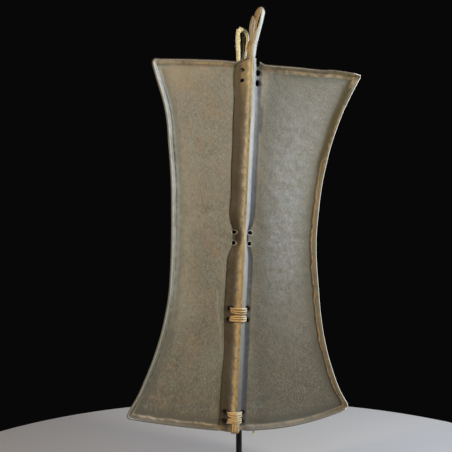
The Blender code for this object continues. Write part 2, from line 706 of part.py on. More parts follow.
def main():
    bpy.context.scene.collection.children.link(SHIELD_NODES)
    bpy.context.scene.collection.children.link(CUTTERS)
    shield = bpy.data.objects.new("shield_frame", None)
    SHIELD_NODES.objects.link(shield)
    shield.location = (SHIELD_FOOT_X, 0, SHIELD_FOOT_Z)
    shield.rotation_euler = (0, LEAN, 0)
    make_hide(shield)
    make_stave(shield)
    make_lashing("lashing_grip", GRIP_STATION, shield)
    make_lashing("lashing_foot", FOOT_STATION, shield, [foot_tail()])
    make_hanging_loop(shield)
    make_rod()
    make_base()


main()
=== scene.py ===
"""The looks of a moulded hide shield with its stave, lashings and hanging loop, on a rod stand.

Metres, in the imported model's frame: +Z up, the shield's face towards -Y. The shield is worked out upright
in its own frame (s to the right, y back, t up from the ridge's foot) and leans a little to the right.
"""

import math
import random

import bmesh
import bpy
import numpy as np
from mathutils import Matrix, Vector, noise


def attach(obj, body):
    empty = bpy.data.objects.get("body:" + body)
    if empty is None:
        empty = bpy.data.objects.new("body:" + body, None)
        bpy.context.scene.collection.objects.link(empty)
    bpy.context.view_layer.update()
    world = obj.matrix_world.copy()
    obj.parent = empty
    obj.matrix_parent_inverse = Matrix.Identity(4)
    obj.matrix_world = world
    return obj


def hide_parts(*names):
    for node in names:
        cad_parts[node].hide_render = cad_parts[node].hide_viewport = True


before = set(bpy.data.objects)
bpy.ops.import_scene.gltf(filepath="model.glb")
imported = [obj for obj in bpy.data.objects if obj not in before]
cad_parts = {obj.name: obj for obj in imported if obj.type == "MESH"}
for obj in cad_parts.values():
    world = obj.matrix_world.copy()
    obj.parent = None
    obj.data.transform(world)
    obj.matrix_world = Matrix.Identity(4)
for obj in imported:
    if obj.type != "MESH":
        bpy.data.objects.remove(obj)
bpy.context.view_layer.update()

# Camera: level, at the left of the shield's front, as far off as the photograph's perspective shows.
PHOTO_SIDE = 452
CAMERA_AZIMUTH = math.radians(-16)
CAMERA_DISTANCE = 1.6
CAMERA_TARGET = Vector((-0.0480, 0.0, 0.5345))
FOCAL_LENGTH_PX = 774.8
SENSOR_MM = 36.0


def add_object(name, data):
    """Puts an object made of the given data into the scene."""
    made = bpy.data.objects.new(name, data)
    bpy.context.scene.collection.objects.link(made)
    return made


camera_data = bpy.data.cameras.new("camera")
camera_data.sensor_width = SENSOR_MM
camera_data.lens = FOCAL_LENGTH_PX * SENSOR_MM / PHOTO_SIDE
camera = add_object("camera", camera_data)
towards_camera = Vector((math.sin(CAMERA_AZIMUTH), -math.cos(CAMERA_AZIMUTH), 0))
camera.location = CAMERA_TARGET + CAMERA_DISTANCE * towards_camera
camera.rotation_euler = (math.pi / 2, 0, CAMERA_AZIMUTH)
bpy.context.scene.camera = camera

# Hide: one thick sheet of raw hide, moulded wet over a form with a tent-shaped ridge down its middle, its
# rim folded forward by hand and splayed outward. It dried stiff and matt, and is rubbed paler on its folds.
# Its colour also carries painted light and shade: highlights on the crest and lips, shade on the flanks and
# in the creases.
HIDE_HEIGHT = 0.763
HIDE_THICKNESS = 0.0042
LEAN = math.radians(2.85)
SHIELD_FOOT = Vector((-0.0353, 0.0, 0.1104))
LEFT, RIGHT = 0, 1
WAIST_HALF_WIDTH = np.array((0.1475, 0.1635))
WAIST_HEIGHT = np.array((0.439, 0.527)) * HIDE_HEIGHT
TOP_HALF_WIDTH = np.array((0.205, 0.249))
FOOT_HALF_WIDTH = np.array((0.222, 0.257))
FLARE_POWER = np.array((2.35, 2.2))
TOP_CORNER_DROP = np.array((0.020, 0.007))
TOP_EDGE_DROP = np.array((0.0150, 0.0050))
TOP_EDGE_POWER = np.array((1.45, 14.0))
TOP_CORNER_RADIUS = np.array((0.0130, 0.0105))
FOOT_CORNER_RISE = np.array((0.029, 0.043))
FOOT_CORNER_RADIUS = np.array((0.0090, 0.0110))
FOOT_EDGE_POWER = np.array((1.35, 2.5))
RIDGE_END_PROUD = {"top": 0.0105, "foot": -0.0007}
RIDGE_END_SPREAD = 0.0165
FOOT_TRIM = 0.0025
NOTCH_TIP_RISE = 0.0046
# Where the rim wanders from its even flare: side, height, reach along it, and how far outward.
RIM_WANDER = (
    (LEFT, 0.725, 0.050, 0.0026), (LEFT, 0.650, 0.060, -0.0040), (LEFT, 0.440, 0.080, 0.0014),
    (LEFT, 0.195, 0.060, 0.0015), (LEFT, 0.105, 0.080, 0.0042), (LEFT, 0.050, 0.020, 0.0025),
    (RIGHT, 0.480, 0.110, 0.0018), (RIGHT, 0.292, 0.072, 0.0058), (RIGHT, 0.190, 0.060, 0.0018),
    (RIGHT, 0.052, 0.020, 0.0040),
)
RIM_SPLAY = 0.0145
RIM_RISE = 0.0115
STAVE_RADIUS = 0.0080
STAVE_FIT = 0.0006
RIDGE_RISE = 0.0214
FLANK_ANGLE = np.radians((40, 71))
FLANK_FILLET = np.array((0.0035, 0.0150))
SHOULDER_REACH = 0.0130
SHOULDER_RISE = 0.0044
PINCH_HEIGHT = 0.5242 * HIDE_HEIGHT
PINCH_LENGTH = 0.052
PINCH_RISE = 0.0228
PINCH_ARCH = 0.0050
PINCH_FLANK_ANGLE = np.radians((73, 71))
PINCH_FILLET = 0.0035
PINCH_SHIFT = -0.0016
LACING_HEIGHTS = [share * HIDE_HEIGHT for share in (0.0400, 0.3172, 0.5242, 0.9626)]
LACING_HALF_SPACING = 0.0117
LACING_HOLE_RADIUS = 0.0042
# For each station from the foot up: how far its lower and upper holes lie from its middle, how far its left
# and right holes lie from the ridge's middle, how large these are, and how much lower the right ones are.
LACING_HOLES = (
    ((0.0075, 0.0112), (0.0190, 0.0182), (1.10, 1.10), 0.0030),
    ((0.0117, 0.0117), (0.0190, 0.0190), (1.15, 1.20), 0.0),
    ((0.0112, 0.0112), (0.0161, 0.0180), (1.00, 1.00), 0.0),
    ((0.0112, 0.0104), (0.0182, 0.0176), (0.80, 1.50), 0.0),
)


def lerp(a, b, k):
    return a + (b - a) * k


def smooth_step(start, end, value):
    share = np.clip((value - start) / (end - start), 0, 1)
    return share * share * (3 - 2 * share)


def hump(value, middle, reach):
    """A bell that is 1 at the middle and has faded out at about twice the reach."""
    return np.exp(-(((value - middle) / reach) ** 2))


def unit(ways):
    """The given ways, along the last axis, brought to length 1."""
    return ways / np.maximum(np.linalg.norm(ways, axis=-1, keepdims=True), 1e-9)


def noise_at(x, y, z):
    """Smooth noise read at each of the places."""
    places = np.stack(np.broadcast_arrays(x, y, z), axis=-1)
    values = [noise.noise(Vector(place)) for place in places.reshape(-1, 3).tolist()]
    return np.array(values).reshape(places.shape[:-1])


def on_shield(s, y, t):
    """Places in the model's frame of points given in the shield's own frame."""
    x = SHIELD_FOOT.x + s * math.cos(LEAN) + t * math.sin(LEAN)
    z = SHIELD_FOOT.z - s * math.sin(LEAN) + t * math.cos(LEAN)
    return np.stack(np.broadcast_arrays(x, y, z), axis=-1)


def top_edge(s):
    side = (s > 0).astype(int)
    drop = TOP_EDGE_DROP[side] * (np.abs(s) / TOP_HALF_WIDTH[side]) ** TOP_EDGE_POWER[side]
    drop = drop - side * (0.0018 * smooth_step(0.02, 0.12, s) + 0.0030 * smooth_step(0.155, 0.190, s))
    drop = drop - (1 - side) * 0.0016 * smooth_step(0.02, 0.06, -s)
    # The sheet's free corner at the right of the notch is turned up.
    turned_up = side * NOTCH_TIP_RISE * hump(s, 0.0165, 0.0085)
    return HIDE_HEIGHT - drop + turned_up + RIDGE_END_PROUD["top"] * hump(s, -0.003, RIDGE_END_SPREAD)


def foot_edge(s):
    side = (s > 0).astype(int)
    rise = FOOT_CORNER_RISE[side] * (np.abs(s) / FOOT_HALF_WIDTH[side]) ** FOOT_EDGE_POWER[side]
    return FOOT_TRIM + rise + RIDGE_END_PROUD["foot"] * (1 - hump(s, 0, RIDGE_END_SPREAD))


def half_width(t, side):
    """Distance from the ridge's middle to the lip at height t."""
    waist = WAIST_HEIGHT[side]
    up = np.clip((t - waist) / (HIDE_HEIGHT - TOP_CORNER_DROP[side] - waist), 0, None)
    down = np.clip((waist - t) / (waist - FOOT_CORNER_RISE[side]), 0, None)
    flare_up = (TOP_HALF_WIDTH[side] - WAIST_HALF_WIDTH[side]) * up ** FLARE_POWER[side]
    flare_down = (FOOT_HALF_WIDTH[side] - WAIST_HALF_WIDTH[side]) * down ** FLARE_POWER[side]
    wander = sum(out * (side == at) * hump(t, middle, reach) for at, middle, reach, out in RIM_WANDER)
    corner = (TOP_HALF_WIDTH[side] - TOP_CORNER_RADIUS[side]) * (2 * side - 1)
    to_top = top_edge(corner) - t
    to_foot = t - FOOT_CORNER_RISE[side] - FOOT_TRIM - RIDGE_END_PROUD["foot"]
    rounded = 0.0
    for to_end, radius in ((to_top, TOP_CORNER_RADIUS[side]), (to_foot, FOOT_CORNER_RADIUS[side])):
        near = np.clip(1 - to_end / radius, 0, 1)
        rounded = rounded + radius * (1 - np.sqrt(1 - near * near))
    return WAIST_HALF_WIDTH[side] + flare_up + flare_down + wander - rounded


def slow_wave(t, length, seed):
    """Smooth random values of about -1 to 1 along the height, with waves of the given length."""
    return 1.8 * noise_at(t / length, seed, 0.5)


def ridge_section(t, side):
    """The ridge at one height and side: its shift, rise, arch, flank angle and fillet, and its parts' ends.

    Across, the ridge is an arch over the stave, then a straight flank, then a fillet down to the sheet.
    """
    pinch = hump(t, PINCH_HEIGHT, PINCH_LENGTH / 2)
    rise = lerp(RIDGE_RISE, PINCH_RISE, pinch)
    angle = lerp(FLANK_ANGLE[side], PINCH_FLANK_ANGLE[side], pinch)
    # The right flank steepens slowly above the pinch, and the left one a little below the grip's lashing.
    narrowing = side * smooth_step(0.56, 0.44, t) * smooth_step(0.36, 0.41, t)
    angle = angle + (1 - pinch) * (0.05 * narrowing + 0.09 * (1 - side) * hump(t, 0.165, 0.050))
    angle = angle + (1 - pinch) * 0.030 * (1 - 2 * side) * slow_wave(t, 0.045, 2.5)
    angle = angle - 0.13 * (1 - side) * hump(t, 0.0, 0.020)
    fillet = lerp(FLANK_FILLET[side], PINCH_FILLET, pinch) + 0.0075 * (1 - side) * smooth_step(0.68, 0.74, t)
    arch = lerp(STAVE_RADIUS + STAVE_FIT + HIDE_THICKNESS / 2, PINCH_ARCH, pinch)
    flank = (arch * np.cos(angle) + rise - arch - fillet * (1 - np.cos(angle))) / np.sin(angle)
    arch_end = arch * np.sin(angle)
    flank_end = arch_end + flank * np.cos(angle)
    base = flank_end + fillet * np.sin(angle)
    shift = PINCH_SHIFT * pinch + 0.0005 * slow_wave(t, 0.06, 9.5) - 0.0010 * smooth_step(0.66, 0.73, t)
    return shift, rise, arch, angle, fillet, arch_end, flank_end, base


def ridge_rise(s, t):
    """How far the ridge's mid-surface stands in front of the sheet.

    The crest is drawn to a slight edge with a shallow groove at its left, and the left flank has a shoulder
    from which it drops more steeply.
    """
    shift, rise, arch, *_ = ridge_section(t, np.zeros_like(s, dtype=int))
    side = (s > shift).astype(int)
    _, _, _, angle, fillet, arch_end, flank_end, base = ridge_section(t, side)
    across = np.abs(s - shift)
    on_arch = np.sqrt(np.clip(arch**2 - across**2, 0, None)) + rise - arch
    on_flank = fillet * (1 - np.cos(angle)) + (flank_end - across) * np.tan(angle)
    on_fillet = fillet - np.sqrt(np.clip(fillet**2 - (base - across) ** 2, 0, None))
    rise_there = np.where(across > arch_end, on_flank, on_arch)
    rise_there = np.where(across > flank_end, on_fillet, rise_there)
    edge = 0.0012 * np.exp(-across / 0.0020) - 0.0004 * (1 - side) * hump(across, 0.0042, 0.0026)
    free = (1 - hump(t, PINCH_HEIGHT, PINCH_LENGTH * 0.62)) * (1 - 0.55 * hump(t, LACING_HEIGHTS[1], 0.020))
    shoulder = np.minimum(SHOULDER_REACH, lerp(arch_end, flank_end, 0.6))
    above = (across - arch_end * 0.5) / (shoulder - arch_end * 0.5)
    below = (flank_end - across) / (flank_end - shoulder)
    roundness = 0.14
    tent = -roundness * np.logaddexp(-above / roundness, -below / roundness)
    lifted = (1 - side) * free * SHOULDER_RISE * np.clip(tent, 0, None)
    return np.where(across >= base, 0.0, rise_there + edge + lifted)


def rough_field(s, t, size, seed):
    """Smooth random heights of about -1 to 1 over the sheet, with lumps of the given size."""
    return 1.6 * noise_at(s / size, t / size, seed)


def rim_fold(inside, splay, rise, roll):
    """Forward rise of the folded rim at a distance inside its lip; roll turns the last of it back out."""
    softness = 0.20
    share = inside / splay
    fold = softness * np.logaddexp(0, (1 - share) / softness)
    return rise * (fold - roll * hump(share, 0, 0.26))


def rim_rise(s, t, side):
    """The rim's rise at the nearest edges, rounded where two edges meet at a corner."""
    wave = rough_field(s, t, 0.055, 3.1)
    at_side = half_width(t, side) - np.abs(s)
    top_right = hump(t, HIDE_HEIGHT - 0.030, 0.11) * side
    side_splay = RIM_SPLAY * (lerp(0.62, 1.02, side) + 0.45 * top_right + lerp(0.20, 0.14, side) * wave)
    folds = [rim_fold(at_side, side_splay, RIM_RISE * (1 + 0.10 * wave), lerp(0.12, 0.30, side))]
    # The end folds narrow to nothing at the ridge, but the top's right one ends free beside the notch.
    to_ridge = smooth_step(0.008, 0.036, np.abs(s))
    for inside, open_end in ((top_edge(s) - t, side), (t - foot_edge(s), 0)):
        share = np.maximum(to_ridge, open_end * smooth_step(0.010, 0.016, s))
        splay = RIM_SPLAY * lerp(0.14, 0.88 - 0.24 * (t < HIDE_HEIGHT / 2), share) * (1 + 0.14 * wave)
        folds.append(rim_fold(inside, splay, RIM_RISE * share * (0.92 + 0.10 * wave), 0.14))
    power = 4.0
    return sum(np.clip(fold, 0, None) ** power for fold in folds) ** (1 / power)


def hide_rise(s, t):
    """Height of the hide's mid-surface in front of the flat sheet, with all the unevenness of handwork."""
    side = (s > 0).astype(int)
    ridge = ridge_rise(s, t)
    base = ridge_section(t, side)[-1]
    softness = 0.003
    rim = rim_rise(s, t, side)
    span = np.clip(softness - np.abs(ridge - rim), 0, None) / softness
    form = np.maximum(ridge, rim) + span * span * softness / 4
    # Each panel is a little pillowed between the ridge and the rim.
    panel = np.clip((np.abs(s) - base) / (half_width(t, side) - RIM_SPLAY - base), 0, 1)
    pillow = np.sin(math.pi * panel ** 0.85) * lerp(0.0014, 0.0034, side) * hump(t, 0.40, 0.33)
    off_ridge = smooth_step(0.4, 1.3, np.abs(s) / base)
    lumps = 0.0009 * rough_field(s, t, 0.110, 7.7) + 0.00028 * rough_field(s, t, 0.022, 1.3)
    dents = 0.00016 * rough_field(s, t, 0.008, 5.9)
    return form + pillow + (lumps + dents) * lerp(0.15, 1.0, off_ridge)


def spread(start, end, step):
    """Evenly spaced values from start up to, but not including, end."""
    count = max(round((end - start) / step), 1)
    return [lerp(start, end, k / count) for k in range(count)]


def hide_rows():
    """Shares of the height at which crosswise grid lines run, close at the folds and holes."""
    fine, middle, coarse = 0.0012, 0.0022, 0.0042
    near_holes = LACING_HALF_SPACING + 0.010
    low, grip, pinch, high = LACING_HEIGHTS
    stops = (
        (0.0, low + near_holes, fine), (low + near_holes, grip - near_holes, coarse),
        (grip - near_holes, grip + near_holes, fine), (grip + near_holes, pinch - 0.045, coarse),
        (pinch - 0.045, pinch - near_holes, middle), (pinch - near_holes, pinch + near_holes, fine),
        (pinch + near_holes, pinch + 0.045, middle), (pinch + 0.045, high - near_holes, coarse),
        (high - near_holes, HIDE_HEIGHT, fine),
    )
    heights = [t for start, end, step in stops for t in spread(start, end, step)]
    return np.array(heights + [HIDE_HEIGHT]) / HIDE_HEIGHT


def hide_grid():
    """Places (s, t) of the hide's grid, a row for each height and a column for each lengthwise line."""
    rows = hide_rows()
    rim_shares = [1.9, 1.7, 1.5, 1.32, 1.16, 1.0, 0.86, 0.72, 0.58, 0.45, 0.33, 0.22, 0.11, 0.0]
    # Each line's part of the section (arch, flank, fillet, sheet or rim), and its place there.
    half = [(part, k / lines, 0) for part, lines in enumerate((7, 9, 6)) for k in range(1, lines + 1)]
    sheet_lines = 26
    half += [(3, k / sheet_lines, 0) for k in range(1, sheet_lines)]
    half += [(4, 0, share * RIM_SPLAY) for share in rim_shares]
    columns = [(LEFT, *line) for line in reversed(half)]
    columns += [(RIGHT, 0, 0, 0)] + [(RIGHT, *line) for line in half]
    grid = []
    for side, part, share, inside in columns:
        sign = 1 if side == RIGHT else -1
        s = np.zeros_like(rows)
        # A line's heights and its distance out depend on each other, so they are found in rounds.
        for _ in range(8):
            t = lerp(foot_edge(s), top_edge(s), rows)
            shift, *_, arch_end, flank_end, base = ridge_section(t, side)
            ends = (0.0, arch_end, flank_end, base)
            outer = half_width(t, side) * np.ones_like(t)
            if part < 3:
                s = shift + sign * lerp(ends[part], ends[part + 1], share)
            elif part == 3:
                s = lerp(shift + sign * base, sign * (outer - rim_shares[0] * RIM_SPLAY), share)
            else:
                s = sign * (outer - inside)
        grid.append(np.stack((s, lerp(foot_edge(s), top_edge(s), rows)), axis=-1))
    return np.stack(grid, axis=1)


def hole_edge(place, middle, turn, size):
    """Signed distance to one lacing hole's slightly uneven edge, negative inside it."""
    away = place - np.array(middle)
    angle = np.arctan2(away[..., 1], away[..., 0])
    uneven = 0.07 * np.sin(2 * angle + turn) + 0.04 * np.sin(3 * angle + 2 * turn)
    return np.hypot(away[..., 0], away[..., 1]) - LACING_HOLE_RADIUS * size * (1 + uneven)


def notch_edge(place):
    """Signed distance to the knife-cut notch at the right of the ridge's top end."""
    corners = np.array((
        (0.0072, 0.7820), (0.0076, 0.7600), (0.0110, 0.7572), (0.0205, 0.7592), (0.0160, 0.7820),
    ))
    sides = np.roll(corners, -1, axis=0) - corners
    outward = np.stack((-sides[:, 1], sides[:, 0]), axis=1) / np.hypot(*sides.T)[:, None]
    outward *= np.sign(((corners - corners.mean(axis=0)) * outward).sum(axis=1))[:, None]
    return np.max([(place - corner) @ normal for corner, normal in zip(corners, outward)], axis=0)


def hide_openings(place):
    """Signed distance to the nearest hole or notch."""
    turns = random.Random(11)
    edges = [notch_edge(place)]
    for height, (ends, aparts, sizes, drop) in zip(LACING_HEIGHTS, LACING_HOLES):
        for way, end in zip((-1, 1), ends):
            for side, apart, size in zip((LEFT, RIGHT), aparts, sizes):
                middle = ((2 * side - 1) * apart, height + way * end - side * drop)
                edges.append(hole_edge(place, middle, turns.uniform(0, math.tau), size))
    return np.min(edges, axis=0)


def cut_openings(grid):
    """Draws grid points onto the edges of the openings. Returns the grid and which of its faces are left."""
    middles = (grid[:-1, :-1] + grid[1:, :-1] + grid[:-1, 1:] + grid[1:, 1:]) / 4
    kept = hide_openings(middles) > 0
    around = np.pad(kept, 1, constant_values=True).astype(int)
    faces_kept = around[:-1, :-1] + around[1:, :-1] + around[:-1, 1:] + around[1:, 1:]
    on_edge = (faces_kept > 0) & (faces_kept < 4)
    nudge = 1e-5
    for _ in range(3):
        distance = hide_openings(grid)
        slope = np.stack([
            (hide_openings(grid + step) - distance) / nudge for step in np.array(((nudge, 0), (0, nudge)))
        ], axis=-1)
        grid = np.where(on_edge[..., None], grid - distance[..., None] * unit(slope), grid)
    # The points around an opening are evened out, so that the faces there stay well shaped.
    evened_reach = 0.0035
    near = (faces_kept == 4) & (hide_openings(grid) < evened_reach)
    near[[0, -1], :] = near[:, [0, -1]] = False
    for _ in range(6):
        mean = (np.roll(grid, 1, 0) + np.roll(grid, -1, 0) + np.roll(grid, 1, 1) + np.roll(grid, -1, 1)) / 4
        grid = np.where(near[..., None], lerp(grid, mean, 0.5), grid)
    return grid, kept


def line_mark(place, knots, width):
    """A mark that is 1 along a broken line through the knots and fades out over the width beside it."""
    nearest = np.full(place.shape[:-1], np.inf)
    for start, end in zip(knots, knots[1:]):
        start, way = np.array(start), np.array(end) - np.array(start)
        along = np.clip(((place - start) @ way) / (way @ way), 0, 1)
        nearest = np.minimum(nearest, np.linalg.norm(place - start - along[..., None] * way, axis=-1))
    return hump(nearest, 0, width)


def hide_marks(grid):
    """What the skin's colours are laid by: how near a point is to folds, edges, holes, worn places and
    painted shadow lines.
    """
    s, t = grid[..., 0], grid[..., 1]
    side = (s > 0).astype(int)
    outer = half_width(t, side)
    inside = np.minimum(outer - np.abs(s), np.minimum(top_edge(s) - t, t - foot_edge(s)))
    # Dark lines of painted shadow: along the creases at the ridge's top, and along a wrinkle beside the
    # pinch.
    cut_crease_shadows = (
        (((-0.008, 0.7690), (-0.0175, 0.7640), (-0.0242, 0.7594), (-0.031, 0.7543)), 0.0020),
        (((0.0006, 0.7740), (0.0016, 0.7440)), 0.0007),
    )
    pinch_wrinkle_shadow = (
        (0.0150, 0.4260), (0.0118, 0.4170), (0.0146, 0.4050),
        (0.0118, 0.3960), (0.0146, 0.3850), (0.0205, 0.3650),
    )
    left_scuff = (-0.0470, 0.2900), (-0.0445, 0.2500), (-0.0350, 0.2000), (-0.0330, 0.1600)
    return {
        "fold": np.clip(inside / RIM_SPLAY, 0, 4),
        "ridge": np.clip(s / ridge_section(t, side)[-1], -3, 3),
        "up": t / HIDE_HEIGHT,
        "across": s / outer,
        "opening": np.clip(hide_openings(grid) / 0.002, -1, 5),
        "crease_shadow": np.max([line_mark(grid, knots, width) for knots, width in cut_crease_shadows], axis=0),
        "wrinkle_shadow": line_mark(grid, pinch_wrinkle_shadow, 0.0021),
        "scuff": line_mark(grid, left_scuff, 0.0028),
    }


def free_edges(quads):
    """The edges that only one of the faces has, each in the direction in which that face runs through it."""
    edges = {}
    for quad in quads.tolist():
        for a, b in zip(quad, quad[1:] + quad[:1]):
            if (b, a) in edges:
                del edges[b, a]
            else:
                edges[a, b] = True
    return list(edges)


def mark_points(mesh, marks):
    """Stores values on a mesh's points for its material to read."""
    for name, values in marks.items():
        mesh.attributes.new(name, "FLOAT", "POINT").data.foreach_set("value", np.array(values, np.float32))


def make_hide():
    """The hide as one closed shell: face, back and rounded cut edges, with the places of its wear and of its
    painted light and shade marked on its points.
    """
    grid, kept = cut_openings(hide_grid())
    s, t = grid[..., 0], grid[..., 1]
    middle = on_shield(s, -hide_rise(s, t), t)
    along, across = np.gradient(middle, axis=0), np.gradient(middle, axis=1)
    normal = np.cross(along, across)
    normal = unit(normal * -np.sign(normal[..., 1:2])).reshape(-1, 3)
    middle = middle.reshape(-1, 3)
    half_wall = HIDE_THICKNESS / 2
    count = len(middle)
    number = np.arange(count).reshape(s.shape)
    quads = np.stack((number[:-1, :-1], number[:-1, 1:], number[1:, 1:], number[1:, :-1]), axis=-1)[kept]
    edges = free_edges(quads)
    outward = {}
    for a, b in edges:
        way = unit(np.cross(middle[b] - middle[a], normal[a]))
        for corner in (a, b):
            outward[corner] = outward.get(corner, 0) + way
    # The wall between face and back is rounded, its middle on the sheet's edge and its corners inside it.
    steps = 4
    rounding = 0.0011
    front = middle + normal * half_wall
    back = middle - normal * half_wall
    edge_points, edge_of = [], []
    place_of = {}
    for corner, way in outward.items():
        way = unit(way)
        front[corner] -= way * rounding
        back[corner] -= way * rounding
        for k in range(1, steps):
            angle = math.pi * (k / steps - 0.5)
            place_of[corner, k] = 2 * count + len(edge_points)
            inward = way * rounding * (math.cos(angle) - 1)
            edge_points.append(middle[corner] + inward - normal[corner] * half_wall * math.sin(angle))
            edge_of.append(corner)
        place_of[corner, 0] = corner
        place_of[corner, steps] = corner + count
    faces = quads.tolist() + (quads[:, ::-1] + count).tolist()
    for a, b in edges:
        for k in range(steps):
            faces.append((place_of[b, k], place_of[a, k], place_of[a, k + 1], place_of[b, k + 1]))
    mesh = bpy.data.meshes.new("hide_shell")
    mesh.from_pydata(np.concatenate((front, back, np.array(edge_points))).tolist(), [], faces)
    marks = {name: values.reshape(-1) for name, values in hide_marks(grid).items()}
    marks = {name: np.concatenate((values, values, values[edge_of])) for name, values in marks.items()}
    marks["skin_side"] = np.concatenate((np.zeros(count), np.ones(count), np.full(len(edge_of), 0.5)))
    mark_points(mesh, marks)
    shape = bmesh.new()
    shape.from_mesh(mesh)
    unused = [corner for corner in shape.verts if not corner.link_faces]
    bmesh.ops.delete(shape, geom=unused, context="VERTS")
    shape.to_mesh(mesh)
    shape.free()
    mesh.shade_smooth()
    return mesh


hide = add_object("hide_shell", make_hide())


def srgb(code):
    """Linear colour of an sRGB hex code."""
    parts = [int(code[i:i + 2], 16) / 255 for i in (0, 2, 4)]
    return (*[p / 12.92 if p <= 0.04045 else ((p + 0.055) / 1.055) ** 2.4 for p in parts], 1.0)


def add_node(tree, kind, inputs=None, out=0, **settings):
    """Adds a node, sets or links its inputs by name or number, and returns one of its outputs."""
    node = tree.nodes.new(kind)
    for name, value in settings.items():
        setattr(node, name, value)
    for name, value in (inputs or {}).items():
        if isinstance(value, bpy.types.NodeSocket):
            tree.links.new(value, node.inputs[name])
        else:
            node.inputs[name].default_value = value
    return node.outputs[out] if node.outputs else node


def mask(tree, *steps):
    """Soft steps multiplied together, each given as a value, where it starts and ends, and its two levels.
    A value given alone is a mask already."""
    result = 1.0
    for value, *limits in steps:
        if limits:
            start, end, low, high = (*limits, 0.0, 1.0)[:4]
            reach = {"Value": value, "From Min": start, "From Max": end, "To Min": low, "To Max": high}
            value = add_node(tree, "ShaderNodeMapRange", reach, interpolation_type="SMOOTHSTEP")
        result = add_node(tree, "ShaderNodeMath", {0: result, 1: value}, operation="MULTIPLY")
    return result


def layered(tree, ground, *layers):
    """A ground colour with coloured layers over it, each given as its colour and the steps of its mask."""
    colour = srgb(ground)
    for code, *steps in layers:
        inputs = {0: mask(tree, *steps), 6: colour, 7: srgb(code)}
        colour = add_node(tree, "ShaderNodeMix", inputs, out=2, data_type="RGBA")
    return colour


# Patterns' sizes and depths are given in millimetres.
PER_MM = 1000


def shade(material, tree, colour, roughness, bumps):
    """The principled shader over the stacked bump maps, each given as its height pattern and its depth."""
    surface = {"Base Color": colour, "Roughness": roughness}
    for height, depth_mm in bumps:
        relief = {"Height": height, "Distance": depth_mm / PER_MM, "Strength": 1.0}
        if "Normal" in surface:
            relief["Normal"] = surface["Normal"]
        surface["Normal"] = add_node(tree, "ShaderNodeBump", relief)
    shader = add_node(tree, "ShaderNodeBsdfPrincipled", surface)
    add_node(tree, "ShaderNodeOutputMaterial", {"Surface": shader})
    return material


def empty_material(name):
    material = bpy.data.materials.new(name)
    material.use_nodes = True
    material.node_tree.nodes.clear()
    return material, material.node_tree


